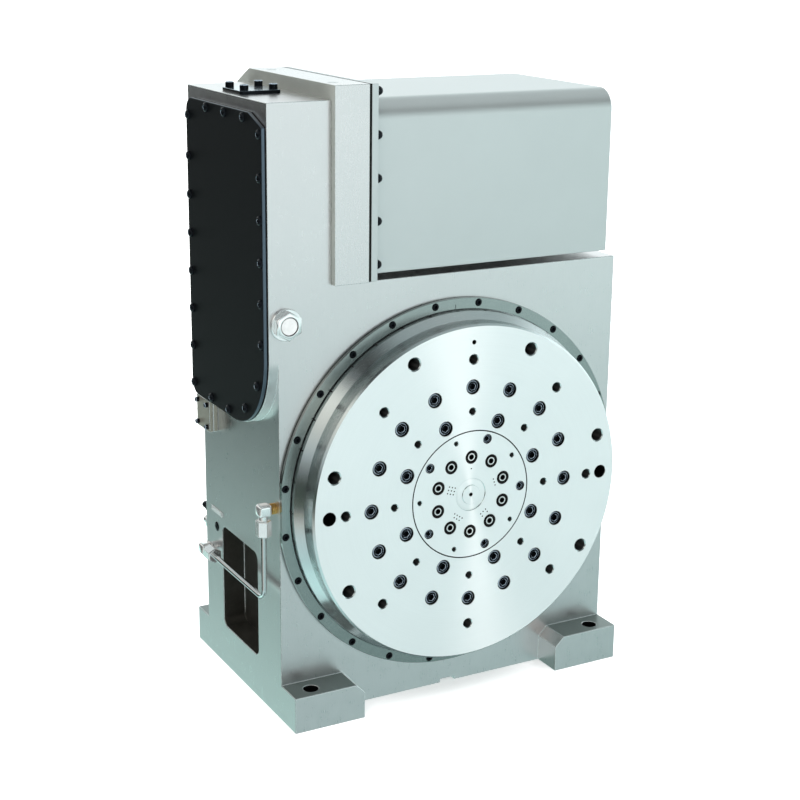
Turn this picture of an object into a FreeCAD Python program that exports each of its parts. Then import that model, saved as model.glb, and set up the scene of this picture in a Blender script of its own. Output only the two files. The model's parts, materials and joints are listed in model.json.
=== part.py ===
import FreeCAD, Part
import math
import os
import re

import Sketcher

# Upright rotary table for a machine tool, driven by a servo motor through spur gears and a worm wheel.
# Frame: X to the right, Y to the back, Z up, the origin on the base under the table's axis at mid depth.
# Turned pieces on the table's axis are drawn with z counted from mid depth towards the front.

Vector = FreeCAD.Vector

doc = FreeCAD.newDocument("RotaryTable")
sheet = doc.addObject("Spreadsheet::Sheet", "Sheet")

# Sizes in millimetres. A value that starts with = is worked out from the others.
SIZES = {
    # fits that are used all over
    "running_clearance": 0.05,
    "seat_gap": 0.3,
    # the round table sets the size of the body round it
    "table_r": 250,
    "rim_step": 10,
    "rim_r": "=table_r + rim_step",
    "ring_gap": 1.5,
    "ring_wide": 16,
    "ring_in_r": "=rim_r + ring_gap",
    "ring_out_r": "=ring_in_r + ring_wide",
    "ring_flat": 3.5,
    "ring_proud": 7,
    # upright body and its feet
    "side_x": "=ring_out_r - ring_flat",
    "below_ring": 39.5,
    "axis_height": "=ring_out_r + below_ring",
    "above_worm": 100,
    "body_top": "=worm_height + above_worm",
    "foot_width": 110,
    "foot_height": 54,
    "foot_front": 47,
    "foot_rear": 42,
    "foot_chamfer": 14,
    "foot_hole_r": 11,
    "foot_hole_side": 34,
    "foot_hole_end": 21.5,
    "key_slot_width": 24,
    "key_slot_depth": 5.5,
    "key_slot_length": 60,
    # worm and worm wheel
    "wheel_module": "=table_r / 50",
    "wheel_teeth": 72,
    "wheel_pitch_r": "=wheel_module * wheel_teeth / 2",
    "wheel_mid_z": 30,
    "wheel_width": 40,
    "wheel_front_z": "=wheel_mid_z + wheel_width / 2",
    "wheel_back_z": "=wheel_mid_z - wheel_width / 2",
    "wheel_hub_long": 12,
    "wheel_room_gap": 16,
    "wheel_room_r": "=wheel_pitch_r + wheel_room_gap",
    "wheel_room_front_gap": 4,
    "mesh_thinning": 0.5,
    "worm_pitch_r": 34,
    "worm_core_r": "=worm_pitch_r - 1.25 * wheel_module",
    "worm_turns": 5.5,
    "worm_thread_half": "=worm_turns / 2 * 3.1416 * wheel_module + 12",
    "worm_y": "=-wheel_mid_z",
    "worm_height": "=axis_height + wheel_pitch_r + worm_pitch_r",
    "worm_room_gap": 3,
    "worm_room_r": "=worm_pitch_r + wheel_module + worm_room_gap",
    "worm_room_half": 110,
    "worm_bore_step": 8,
    "worm_bore_r": "=worm_room_r + worm_bore_step",
    "worm_journal_r": "=worm_pitch_r - 6.5",
    "worm_gear_seat_r": "=worm_journal_r - 5.5",
    "worm_bearing_wide": 21,
    "worm_left_bearing_gap": 2,
    "worm_left_bearing_x": "=cavity_right + worm_left_bearing_gap",
    "worm_right_bearing_x": 150,
    "worm_tail": 6,
    "worm_tail_x": "=worm_right_bearing_x + worm_bearing_wide + worm_tail",
    "worm_retainer_thick": 9,
    "worm_retainer_lip": 14,
    "worm_retainer_hole": 9,
    "worm_nut_gap": 3,
    "worm_nut_proud": 5,
    "worm_end_cap_r": 68,
    "worm_end_cap_thick": 12,
    "worm_end_cap_wall": 8,
    "worm_tail_gap": 4,
    "edge_break": 2,
    "cut_over": 1,
    # gear case on the left, and the spur gears in it
    "case_proud": 14,
    "case_left": "=-side_x - case_proud",
    "case_wall": 12,
    "case_rim": 20,
    "case_roof": 38,
    "case_round": 106,
    "case_low": "=worm_height - case_round",
    "case_above_motor": 120,
    "case_top": "=motor_height + case_above_motor",
    "gear_cover_gap": 26,
    "gear_width": 30,
    "gear_wall_gap": 26,
    "gear_left": "=case_left + gear_cover_gap",
    "gear_right": "=gear_left + gear_width",
    "cavity_right": "=gear_right + gear_wall_gap",
    "case_right": "=cavity_right + case_wall",
    "gear_module": 3,
    "gear_thinning": 0.3,
    "motor_gear_teeth": 22,
    "idler_teeth": 40,
    "worm_gear_teeth": 50,
    "idler_height": "=worm_height + gear_module * (worm_gear_teeth + idler_teeth) / 2",
    "motor_height": "=idler_height + gear_module * (idler_teeth + motor_gear_teeth) / 2",
    "gear_hub_long": 8,
    "gear_hub_wall": 14,
    "gear_nut_wall": 12,
    "gear_nut_long": 9,
    "idler_journal_r": 20,
    "idler_hub_wall": 11,
    "idler_flange_wall": 14,
    "idler_flange_thick": 8,
    "idler_retainer_wall": 7,
    "idler_retainer_thick": 5,
    # covers of the gear case
    "cover_gasket": 1,
    "cover_thick": 6,
    "cover_margin": 1.5,
    "cover_top_drop": 16,
    "cover_rear_margin": 9,
    "cover_slant_y": 42,
    "cover_slant_z": 16,
    "cover_corner": 20,
    "top_plate_shift": 7.5,
    "top_plate_x": "=(case_left + case_right) / 2 - top_plate_shift",
    "top_plate_wide": 60,
    "top_plate_long": 66,
    "top_plate_thick": 5,
    "filler_r": 16,
    # motor plate and hood
    "plate_thick": 52,
    "plate_right": "=case_right + plate_thick",
    "plate_proud": 10,
    "plate_front_y": "=-front_z - plate_proud",
    "plate_behind": 41,
    "plate_rear_y": "=front_z + plate_behind",
    "plate_above_motor": 140,
    "plate_top": "=motor_height + plate_above_motor",
    "plate_slope_y": 44,
    "plate_slope_z": 22,
    "hood_seal": 3,
    "hood_left": "=plate_right + hood_seal",
    "flange_thick": 10,
    "flange_rise": 1,
    "hood_end_gap": 11.5,
    "hood_right": "=side_x - hood_end_gap",
    "hood_set_back": 4,
    "hood_front_y": "=-front_z + hood_set_back",
    "hood_rear_margin": 12,
    "hood_rear_y": "=plate_rear_y - hood_rear_margin",
    "hood_above_body": 8.5,
    "hood_low": "=body_top + hood_above_body",
    "hood_drop": 22,
    "hood_top": "=plate_top - hood_drop",
    "hood_slope_y": 38,
    "hood_slope_z": 19,
    "hood_round": 30,
    "hood_end_round": 4,
    "hood_wall": 3,
    # servo motor
    "motor_gap": 10,
    "motor_half": "=worm_y - hood_front_y - hood_wall - motor_gap",
    "motor_corner": 18,
    "motor_long": 230,
    "motor_end_wall": 14,
    "motor_rear_x": "=plate_right + motor_long",
    "motor_pilot_r": 57.15,
    "motor_pilot_deep": 5,
    "motor_pilot_gap": 4,
    "motor_shaft_r": 17.5,
    "motor_shaft_long": 80,
    "motor_tail_r": "=motor_shaft_r * 0.7",
    "stator_wall": 28.5,
    "stator_r": "=motor_half - stator_wall",
    "rotor_gap": 1.5,
    "rotor_r": "=stator_r - rotor_gap",
    "rotor_front_gap": 10,
    "rotor_rear_gap": 20,
    "cap_long": 44,
    "cap_step": 28,
    "cap_half": "=motor_half - cap_step",
    "shaft_hole_r": 40,
    "motor_gear_hub_r": 26,
    "oil_seal_thick": 12,
    # main bearing, its seat in the body and the spindle, all stepped out from the worm wheel
    "bearing_back_z": "=wheel_front_z + wheel_hub_long",
    "bearing_wide": 37,
    "bearing_front_z": "=bearing_back_z + bearing_wide",
    "bearing_step": 5,
    "bearing_r": "=wheel_pitch_r + bearing_step",
    "outer_ring_wall": 26,
    "outer_race_r": "=bearing_r - outer_ring_wall",
    "roller_room": 14,
    "inner_race_r": "=outer_race_r - roller_room",
    "roller_edge": 6,
    "inner_ring_wall": 20,
    "journal_r": "=inner_race_r - inner_ring_wall",
    "shoulder_gap": 5,
    "shoulder_r": "=inner_race_r + shoulder_gap",
    "wheel_seat_step": 13,
    "wheel_seat_r": "=journal_r - wheel_seat_step",
    "thread_step": 12,
    "thread_r": "=wheel_seat_r - thread_step",
    "thread_relief": 4,
    "thread_run": 2,
    "rear_journal_step": 15,
    "rear_journal_r": "=thread_r - rear_journal_step",
    "spindle_wall": 25,
    "spindle_bore_r": "=rear_journal_r - spindle_wall",
    "spindle_flange_gap": 10,
    "spindle_flange_r": "=bearing_r - spindle_flange_gap",
    "spindle_nut_wall": 28,
    "spindle_nut_wide": 18,
    "key_width": 20,
    "key_tall": 14,
    "key_short": 6,
    "key_inset": 4,
    "race_lift": 2,
    # openings of the body in front of the bearing, and the clamp in them
    "retainer_foot": 8,
    "retainer_deep": 10,
    "retainer_step_z": "=bearing_front_z + retainer_foot",
    "disc_room_floor_z": "=retainer_step_z + retainer_deep",
    "retainer_lip": "=0.072 * table_r",
    "retainer_r": "=bearing_r + retainer_lip",
    "retainer_hole_gap": 2,
    "groove_wall": 7,
    "piston_in_r": "=retainer_r + groove_wall",
    "disc_lift": 6,
    "disc_back_z": "=disc_room_floor_z + disc_lift",
    "disc_thick": 6,
    "seat_z": "=disc_back_z + disc_thick",
    "recess_floor_z": "=seat_z + seat_gap",
    "recess_deep": 7.7,
    "front_z": "=recess_floor_z + recess_deep",
    "recess_gap": 3,
    "recess_r": "=rim_r + recess_gap",
    "recess_lip": "=0.068 * table_r",
    "disc_room_r": "=recess_r - recess_lip",
    "disc_edge_gap": 3,
    "piston_margin": 6,
    "piston_out_r": "=disc_room_r - piston_margin",
    "piston_deep": 24,
    "piston_lift": 1,
    "piston_gap": 1,
    "clamp_ring_gap": 13,
    "clamp_ring_thick": 7,
    # faceplate and centre insert, the hole circles in proportion to the table
    "face_proud": 56,
    "face_z": "=front_z + face_proud",
    "face_chamfer": 3,
    "cone_drop": 29,
    "cone_long": 12,
    "rim_back_gap": 4,
    "relief_step": 17,
    "relief_r": "=spindle_flange_r + relief_step",
    "hub_bore_step": 2,
    "hub_bore_r": "=spindle_bore_r + hub_bore_step",
    "insert_r": "=0.38 * table_r",
    "insert_gap": 0.2,
    "insert_deep": 40,
    "insert_floor_z": "=face_z - insert_deep",
    "outer_screw_pcd": "=1.28 * table_r",
    "inner_screw_pcd": "=0.9 * table_r",
    "small_tap_pcd": "=0.992 * table_r",
    "medium_tap_pcd": "=1.6 * table_r",
    "large_tap_pcd": "=1.8 * table_r",
    "screw_well_r": 11,
    "screw_well_deep": 14,
    "small_tap_r": 6,
    "medium_tap_r": 8,
    "large_tap_r": 10.5,
    "dowel_r": 10,
    "setting_hole_r": 3.3,
    "tap_deep": 34,
    "port_pcd": "=0.45 * table_r",
    "port_r": 10,
    "port_deep": 3,
    "insert_screw_pcd": "=0.6696 * table_r",
    "insert_well_r": 7.2,
    "insert_tap_r": 4,
    "centre_hole_r": 4,
    # rear housing, rear bearing, cap and rotary distributor
    "rear_bearing_inset": 49,
    "rear_bearing_wide": 24,
    "rear_bearing_back_z": "=rear_bearing_inset - front_z - rear_bearing_wide / 2",
    "rear_bearing_front_z": "=rear_bearing_back_z + rear_bearing_wide",
    "rear_bearing_wall": 45,
    "rear_bearing_r": "=rear_journal_r + rear_bearing_wall",
    "rear_shoulder": 12,
    "rear_housing_lip": 10,
    "rear_flange_step": 26,
    "rear_flange_r": "=wheel_room_r + rear_flange_step",
    "rear_flange_thick": 14,
    "rear_face_z": "=-front_z - rear_flange_thick",
    "rear_nut_wall": 14,
    "rear_nut_wide": 12,
    "spindle_tail": 18,
    "rear_cap_step": 20,
    "rear_cap_thick": 10,
    "rear_cap_z": "=rear_face_z - rear_cap_thick",
    "distributor_flange_wall": 32,
    "distributor_flange_thick": 12,
    "distributor_end_gap": 4,
    # lightening pocket and hydraulic line on the left side
    "pocket_front_y": -57,
    "pocket_rear_y": 73,
    "pocket_low": 66,
    "pocket_high": 227,
    "pocket_depth": 35,
    "pocket_round": 12,
    "line_off": 18,
    "line_x": "=-side_x - line_off",
    "line_front_y": -121,
    "line_front_height": 318,
    "line_rear_y": 98,
    "line_rear_height": 185,
    "tube_r": 4,
    "tube_bend": 16,
    "elbow_r": 9,
    "elbow_leg": 14,
    "elbow_bend": "=elbow_r + 0.4",
    "nut_hex": 20,
    "nut_long": 24,
    "nipple_r": 6.6,
    "nipple_collar_r": 8,
    "nipple_collar_long": 7,
    "nipple_deep": 18,
    "port_above_line": 33,
    "port_y": 95,
    "side_port_r": 7,
    # oil sight glass on the front of the case
    "sight_inset": 25,
    "sight_x": "=case_left + sight_inset",
    "sight_rise": 158,
    "sight_height": "=case_low + sight_rise",
    "sight_flange_r": 22.5,
    "sight_flange_thick": 4,
    "sight_hex": 36,
    "sight_hex_tall": 10,
    "sight_window_r": 12.3,
    "sight_window_deep": 3,
    "sight_window_drop": 0.6,
    "sight_bore_r": 10,
    # small pieces on the left and rear
    "terminal_front_y": 81,
    "terminal_wide": 49,
    "terminal_gap": 4,
    "terminal_tall": 48,
    "terminal_low": "=case_low - terminal_gap - terminal_tall",
    "terminal_box_thick": 8,
    "terminal_lid_thick": 6,
    "tag_front_y": 71,
    "tag_wide": 43,
    "tag_above_line": 54.5,
    "tag_tall": 7.5,
    "tag_thick": 1.2,
    "fitting_inset": 13,
    "fitting_height": 205,
    "fitting_hex": 19,
    "fitting_hex_long": 14,
    "fitting_nose_long": 14,
    "fitting_nose_r": "=fitting_hex * 0.38",
}

for row, name in enumerate(SIZES, 1):
    sheet.set(f"A{row}", name)
    sheet.setAlias(f"B{row}", name)
for row, value in enumerate(SIZES.values(), 1):
    sheet.set(f"B{row}", str(value))
doc.recompute()


def bound(text):
    """The text as an expression on the sheet."""

    def on_sheet(match):
        word = match.group()
        return "Sheet." + word if word in SIZES else word

    return re.sub(r"[a-z_][a-z_0-9]*", on_sheet, str(text))


def size(text):
    """The text's value now."""
    return float(sheet.evalExpression(bound(text)))


PLANES = {"X": "YZ_Plane", "Y": "XZ_Plane", "Z": "XY_Plane"}
parts = []


def keep(piece, label):
    """Names a finished piece and puts it on the list to be written."""
    piece.Label = label
    parts.append(piece)
    return piece


def new_body(name):
    return doc.addObject("PartDesign::Body", name)


def pin_point(sketch, edge, end, u, v):
    """Ties one end of a sketch edge to a place worked out on the sheet."""
    for kind, text, axis in (("DistanceX", u, -2), ("DistanceY", v, -1)):
        if str(text) == "0":
            sketch.addConstraint(Sketcher.Constraint("PointOnObject", edge, end, axis))
        else:
            index = sketch.addConstraint(Sketcher.Constraint(kind, -1, 1, edge, end, size(text)))
            sketch.setExpression(f"Constraints[{index}]", bound(text))


def pin_radius(sketch, edge, radius):
    index = sketch.addConstraint(Sketcher.Constraint("Radius", edge, size(radius)))
    sketch.setExpression(f"Constraints[{index}]", bound(radius))


def draw_circle(sketch, u, v, radius):
    circle = Part.Circle(Vector(size(u), size(v), 0), Vector(0, 0, 1), size(radius))
    edge = sketch.addGeometry(circle, False)
    pin_point(sketch, edge, 3, u, v)
    pin_radius(sketch, edge, radius)


def draw_path(sketch, points):
    """A closed outline. A point with a radius and a centre is reached by an arc, the others by lines."""
    spots = [(size(point[0]), size(point[1])) for point in points]
    count = len(points)
    edges = []
    for i in range(count):
        start, stop = spots[i], spots[(i + 1) % count]
        target = points[(i + 1) % count]
        if len(target) == 2:
            line = Part.LineSegment(Vector(*start, 0), Vector(*stop, 0))
            edges.append((sketch.addGeometry(line, False), 1, 2))
            continue
        radius, cu, cv = target[2], size(target[3]), size(target[4])
        angles = [math.atan2(spot[1] - cv, spot[0] - cu) for spot in (start, stop)]
        forward = (angles[1] - angles[0]) % (2 * math.pi) < math.pi
        first, last = angles if forward else angles[::-1]
        circle = Part.Circle(Vector(cu, cv, 0), Vector(0, 0, 1), size(radius))
        edge = sketch.addGeometry(Part.ArcOfCircle(circle, first, last), False)
        edges.append((edge, 1, 2) if forward else (edge, 2, 1))
    for i in range(count):
        edge, begin, end = edges[i]
        after, after_begin, after_end = edges[(i + 1) % count]
        sketch.addConstraint(Sketcher.Constraint("Coincident", edge, end, after, after_begin))
    for i, point in enumerate(points):
        pin_point(sketch, edges[i][0], edges[i][1], point[0], point[1])
        if len(points[(i + 1) % count]) > 2:
            pin_radius(sketch, edges[i][0], points[(i + 1) % count][2])


def draw(body, axis, offset, outlines):
    """A sketch square to an axis at a place along it. Outlines are circles (u, v, r) or lists of points."""
    sketch = body.newObject("Sketcher::SketchObject", body.Name + "_sketch")
    plane = next(item for item in body.Origin.OriginFeatures if item.Role == PLANES[axis])
    sketch.AttachmentSupport = [(plane, "")]
    sketch.MapMode = "FlatFace"
    sketch.setExpression("AttachmentOffset.Base.z", bound(f"-({offset})" if axis == "Y" else offset))
    for outline in outlines:
        if isinstance(outline, tuple):
            draw_circle(sketch, *outline)
        else:
            draw_path(sketch, outline)
    doc.recompute()
    return sketch


def extrude(body, axis, start, stop, outlines, remove=False):
    """Adds or cuts a prism along an axis from start up to stop."""
    before = body.Shape.Volume if body.Tip else 0.0
    sketch = draw(body, axis, start, outlines)
    kind = "Pocket" if remove else "Pad"
    feature = body.newObject("PartDesign::" + kind, body.Name + "_" + kind.lower())
    feature.Profile = sketch
    feature.Reversed = (axis == "Y") != remove
    feature.setExpression("Length", bound(f"({stop}) - ({start})"))
    doc.recompute()
    change = body.Shape.Volume - before
    if (change > -1e-6) if remove else (change < 1e-6):
        raise RuntimeError(f"{body.Name}: {kind} from {start} to {stop} changed the volume by {change:.3f}")
    return feature


def cut(body, axis, start, stop, outlines):
    return extrude(body, axis, start, stop, outlines, remove=True)


def round_end(body, x, radius):
    """Rounds the edges of the end that is square to X at the given place."""
    tip = body.Tip
    edges = []
    for number, edge in enumerate(tip.Shape.Edges, 1):
        if all(abs(corner.X - size(x)) < 1e-6 for corner in edge.Vertexes):
            edges.append(f"Edge{number}")
    feature = body.newObject("PartDesign::Fillet", body.Name + "_round")
    feature.Base = (tip, edges)
    feature.setExpression("Radius", bound(radius))
    doc.recompute()


def box(u0, v0, u1, v1):
    return [(u0, v0), (u1, v0), (u1, v1), (u0, v1)]


def rounded_box(u0, v0, u1, v1, r):
    """A rectangle with four equal round corners."""
    return [
        (f"{u0} + {r}", v0),
        (f"{u1} - {r}", v0),
        (u1, f"{v0} + {r}", r, f"{u1} - {r}", f"{v0} + {r}"),
        (u1, f"{v1} - {r}"),
        (f"{u1} - {r}", v1, r, f"{u1} - {r}", f"{v1} - {r}"),
        (f"{u0} + {r}", v1),
        (u0, f"{v1} - {r}", r, f"{u0} + {r}", f"{v1} - {r}"),
        (u0, f"{v0} + {r}"),
        (f"{u0} + {r}", v0, r, f"{u0} + {r}", f"{v0} + {r}"),
    ][1:]


def hexagon(u, v, flats):
    """A hexagon by its width across flats, with a flat to each side."""
    reach = f"{flats} / sqrt(3)"
    return [(f"{u} + {reach} * cos({a})", f"{v} + {reach} * sin({a})") for a in range(30, 390, 60)]


def circle_of(pcd, radius, angles):
    """Holes on a pitch circle about the sketch's origin."""
    return [(f"{pcd} / 2 * cos({a})", f"{pcd} / 2 * sin({a})", radius) for a in angles]


def evenly(count, first):
    return [first + 360 * i / count for i in range(count)]


def turn(body, profile):
    """A turned piece about its own Z, from a closed profile of radius and height."""
    sketch = draw(body, "Y", "0", [profile])
    feature = body.newObject("PartDesign::Revolution", body.Name + "_turn")
    feature.Profile = sketch
    feature.ReferenceAxis = (sketch, ["V_Axis"])
    feature.Angle = 360
    doc.recompute()
    return feature


def on_table_axis(body):
    """Lays a turned piece on the table's axis, its Z to the front."""
    lying = FreeCAD.Rotation(Vector(1, 0, 0), 90)
    body.Placement = FreeCAD.Placement(Vector(0, 0, size("axis_height")), lying)
    body.setExpression("Placement.Base.z", bound("axis_height"))


def along_x(body, y, height):
    """Lays a turned piece on an axis that runs to the right, so that its z is the place along X."""
    lying = FreeCAD.Rotation(Vector(0, 1, 0), 90)
    body.Placement = FreeCAD.Placement(Vector(0, size(y), size(height)), lying)
    body.setExpression("Placement.Base.y", bound(y))
    body.setExpression("Placement.Base.z", bound(height))


def ring_profile(inner, outer, low, high):
    return [(inner, low), (outer, low), (outer, high), (inner, high)]


def solid_profile(outer, low, high):
    return [("0", low), (outer, low), (outer, high), ("0", high)]


def table_ring(label, inner, outer, low, high):
    body = new_body(label)
    turn(body, ring_profile(inner, outer, low, high))
    on_table_axis(body)
    return keep(body, label)


def x_ring(label, inner, outer, left, right, y, height):
    body = new_body(label)
    turn(body, ring_profile(inner, outer, left, right))
    along_x(body, y, height)
    return keep(body, label)


def group(label, pieces):
    """Equal pieces that share one name."""
    compound = doc.addObject("Part::Compound", label)
    compound.Links = pieces
    return keep(compound, label)


def coded(label, shape):
    """A piece whose form is worked out point by point from the sheet."""
    feature = doc.addObject("Part::Feature", label)
    feature.Shape = shape
    return keep(feature, label)


# Body casting: block, feet and gear case, then its openings
casting = new_body("body_casting")
extrude(casting, "Z", "0", "body_top", [box("-side_x", "-front_z", "side_x", "front_z")])


def foot(side):
    """The outline of a pair of feet on one side, seen from the front."""
    outer = f"{side} * side_x"
    inner = f"{side} * (side_x - foot_width)"
    return [
        (outer, "0"),
        (inner, "0"),
        (inner, "foot_height - foot_chamfer"),
        (f"{side} * (side_x - foot_width + foot_chamfer)", "foot_height"),
        (outer, "foot_height"),
    ]


extrude(casting, "Y", "-front_z - foot_front", "front_z + foot_rear", [foot(-1), foot(1)])


def case_outline(margin_front, margin_low, margin_top, margin_rear, radius):
    """The gear case from the left: square but for its round lower front corner."""
    front = f"-front_z + {margin_front}"
    low = f"case_low + {margin_low}"
    return [
        (front, f"case_top - {margin_top}"),
        (front, f"{low} + {radius}"),
        (f"{front} + {radius}", low, radius, f"{front} + {radius}", f"{low} + {radius}"),
        (f"front_z - {margin_rear}", low),
        (f"front_z - {margin_rear}", f"case_top - {margin_top}"),
    ]


extrude(casting, "X", "case_left", "case_right", [case_outline("0", "0", "0", "0", "case_round")])
cavity = case_outline("case_rim", "case_rim", "case_roof", "case_rim", "(case_round - case_rim)")
cut(casting, "X", "case_left", "cavity_right", [cavity])
cut(casting, "X", "cavity_right", "case_right", [("worm_y", "motor_height", "shaft_hole_r")])
cut(casting, "X", "cavity_right", "-worm_room_half", [("worm_y", "worm_height", "worm_bore_r")])
cut(casting, "X", "-worm_room_half", "worm_room_half", [("worm_y", "worm_height", "worm_room_r")])
cut(casting, "X", "worm_room_half", "side_x", [("worm_y", "worm_height", "worm_bore_r")])

# Steps of the main bore, each from its front to its floor
for radius, near, far in (
    ("recess_r", "front_z", "recess_floor_z"),
    ("disc_room_r", "recess_floor_z", "disc_room_floor_z"),
    ("retainer_r", "disc_room_floor_z", "retainer_step_z"),
    ("bearing_r", "retainer_step_z", "bearing_back_z"),
    ("shoulder_r", "bearing_back_z", "wheel_front_z + wheel_room_front_gap"),
    ("wheel_room_r", "wheel_front_z + wheel_room_front_gap", "-front_z"),
):
    cut(casting, "Y", f"-({near})", f"-({far})", [("0", "axis_height", radius)])
groove = [("0", "axis_height", "piston_in_r"), ("0", "axis_height", "piston_out_r")]
cut(casting, "Y", "-disc_room_floor_z", "piston_deep - disc_room_floor_z", groove)

pocket = rounded_box("pocket_front_y", "pocket_low", "pocket_rear_y", "pocket_high", "pocket_round")
cut(casting, "X", "-side_x", "pocket_depth - side_x", [pocket])
key_slots = [
    box("-key_slot_width / 2", "-front_z", "key_slot_width / 2", "key_slot_length - front_z"),
    box("-key_slot_width / 2", "front_z - key_slot_length", "key_slot_width / 2", "front_z"),
]
cut(casting, "Z", "0", "key_slot_depth", key_slots)
foot_holes = []
for side in (-1, 1):
    for place in ("foot_hole_end - foot_front - front_z", "front_z + foot_rear - foot_hole_end"):
        foot_holes.append((f"{side} * (side_x - foot_hole_side)", place, "foot_hole_r"))
cut(casting, "Z", "0", "foot_height", foot_holes)
cut(casting, "Y", "-front_z", "case_rim - front_z", [("sight_x", "sight_height", "sight_bore_r")])
cut(casting, "Z", "case_top - case_roof", "case_top", [("top_plate_x", "0", "filler_r")])
side_ports = [
    ("line_front_y", "line_front_height", "nipple_r"),
    ("line_rear_y", "line_rear_height", "nipple_r"),
    ("port_y", "line_rear_height + port_above_line", "side_port_r"),
]
cut(casting, "X", "-side_x", "nipple_deep - side_x", side_ports)
keep(casting, "body_casting")

# Side cover of the gear case on its gasket
rear_y = "(front_z - cover_rear_margin)"
cover_top = "(case_top - cover_top_drop)"
cover_low = "(case_low + cover_margin)"
cover_front = "(cover_margin - front_z)"
cover_round = "(case_round - cover_margin)"
round_y = f"{cover_front} + {cover_round}"
corner_y = f"{rear_y} - cover_corner"
cover_outline = [
    (cover_front, f"{cover_top} - cover_slant_z"),
    (cover_front, f"{cover_low} + {cover_round}"),
    (round_y, cover_low, cover_round, round_y, f"{cover_low} + {cover_round}"),
    (corner_y, cover_low),
    (rear_y, f"{cover_low} + cover_corner", "cover_corner", corner_y, f"{cover_low} + cover_corner"),
    (rear_y, f"{cover_top} - cover_corner"),
    (corner_y, cover_top, "cover_corner", corner_y, f"{cover_top} - cover_corner"),
    (f"{cover_front} + cover_slant_y", cover_top),
]
gasket = new_body("side_cover_gasket")
extrude(gasket, "X", "case_left - cover_gasket", "case_left", [cover_outline])
cut(gasket, "X", "case_left - cover_gasket", "case_left", [cavity])
keep(gasket, "side_cover_gasket")

side_cover = new_body("side_cover")
cover_right = "case_left - cover_gasket"
extrude(side_cover, "X", f"{cover_right} - cover_thick", cover_right, [cover_outline])
keep(side_cover, "side_cover")

top_plate = new_body("top_cover_plate")
plate_left, plate_end = "top_plate_x - top_plate_wide / 2", "top_plate_x + top_plate_wide / 2"
top_edges = box(plate_left, "-top_plate_long / 2", plate_end, "top_plate_long / 2")
extrude(top_plate, "Z", "case_top", "case_top + top_plate_thick", [top_edges])
keep(top_plate, "top_cover_plate")

# Motor plate, seal, and the hood over the motor
plate_outline = [
    ("plate_front_y", "body_top"),
    ("plate_rear_y", "body_top"),
    ("plate_rear_y", "plate_top - plate_slope_z"),
    ("plate_rear_y - plate_slope_y", "plate_top"),
    ("plate_front_y", "plate_top"),
]
motor_plate = new_body("motor_plate")
extrude(motor_plate, "X", "case_right", "plate_right", [plate_outline])
pilot_left = "plate_right - motor_pilot_deep"
cut(motor_plate, "X", "case_right", pilot_left, [("worm_y", "motor_height", "shaft_hole_r")])
cut(motor_plate, "X", pilot_left, "plate_right", [("worm_y", "motor_height", "motor_pilot_r")])
keep(motor_plate, "motor_plate")


def hood_outline(inset, corner):
    """The hood's section: round upper front edge, sloped upper rear edge."""
    front = f"(hood_front_y + {inset})"
    top = f"(hood_top - {inset})"
    return [
        (front, f"hood_low + {inset}"),
        (f"hood_rear_y - {inset}", f"hood_low + {inset}"),
        (f"hood_rear_y - {inset}", f"{top} - hood_slope_z"),
        (f"hood_rear_y - hood_slope_y - {inset} / 2", top),
        (f"{front} + {corner}", top),
        (front, f"{top} - {corner}", corner, f"{front} + {corner}", f"{top} - {corner}"),
    ]


flange_outline = [
    ("plate_front_y", "body_top + flange_rise"),
    ("plate_rear_y", "body_top + flange_rise"),
    ("plate_rear_y", "plate_top - plate_slope_z"),
    ("plate_rear_y - plate_slope_y", "plate_top"),
    ("plate_front_y", "plate_top"),
]
hood_inside = hood_outline("hood_wall", "(hood_round - hood_wall)")
hood_seal = new_body("motor_cover_gasket")
extrude(hood_seal, "X", "plate_right", "hood_left", [flange_outline])
cut(hood_seal, "X", "plate_right", "hood_left", [hood_inside])
keep(hood_seal, "motor_cover_gasket")

hood = new_body("motor_cover")
extrude(hood, "X", "hood_left", "hood_left + flange_thick", [flange_outline])
extrude(hood, "X", "hood_left + flange_thick", "hood_right", [hood_outline("0", "hood_round")])
cut(hood, "X", "hood_left", "hood_right - hood_wall", [hood_inside])
round_end(hood, "hood_right", "hood_end_round")
keep(hood, "motor_cover")

# Servo motor: housing with its pilot, encoder cap, and the rotor on its shaft


def octagon(half, corner):
    """A square section with cut corners about the motor's axis."""
    signs = ((1, -1, 0), (1, 1, 1), (-1, 1, 0), (-1, -1, 1))
    points = []
    for sy, sz, turned in signs:
        near = (f"worm_y + {sy} * ({half} - {corner})", f"motor_height + {sz} * {half}")
        far = (f"worm_y + {sy} * {half}", f"motor_height + {sz} * ({half} - {corner})")
        points += [far, near] if turned else [near, far]
    return points


housing = new_body("motor_housing")
extrude(housing, "X", "plate_right", "motor_rear_x", [octagon("motor_half", "motor_corner")])
pilot = ("worm_y", "motor_height", "motor_pilot_r - seat_gap")
extrude(housing, "X", pilot_left, "plate_right", [pilot])
cut(housing, "X", "plate_right + motor_end_wall", "motor_rear_x", [("worm_y", "motor_height", "stator_r")])
shaft_way = ("worm_y", "motor_height", "motor_shaft_r + running_clearance")
cut(housing, "X", pilot_left, "plate_right + motor_end_wall", [shaft_way])
keep(housing, "motor_housing")

encoder_cap = new_body("motor_encoder_cap")
cap_section = octagon("cap_half", "motor_corner")
extrude(encoder_cap, "X", "motor_rear_x", "motor_rear_x + cap_long", [cap_section])
tail_way = ("worm_y", "motor_height", "motor_tail_r + running_clearance")
cut(encoder_cap, "X", "motor_rear_x", "motor_rear_x + cap_long / 2", [tail_way])
keep(encoder_cap, "motor_encoder_cap")

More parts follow.
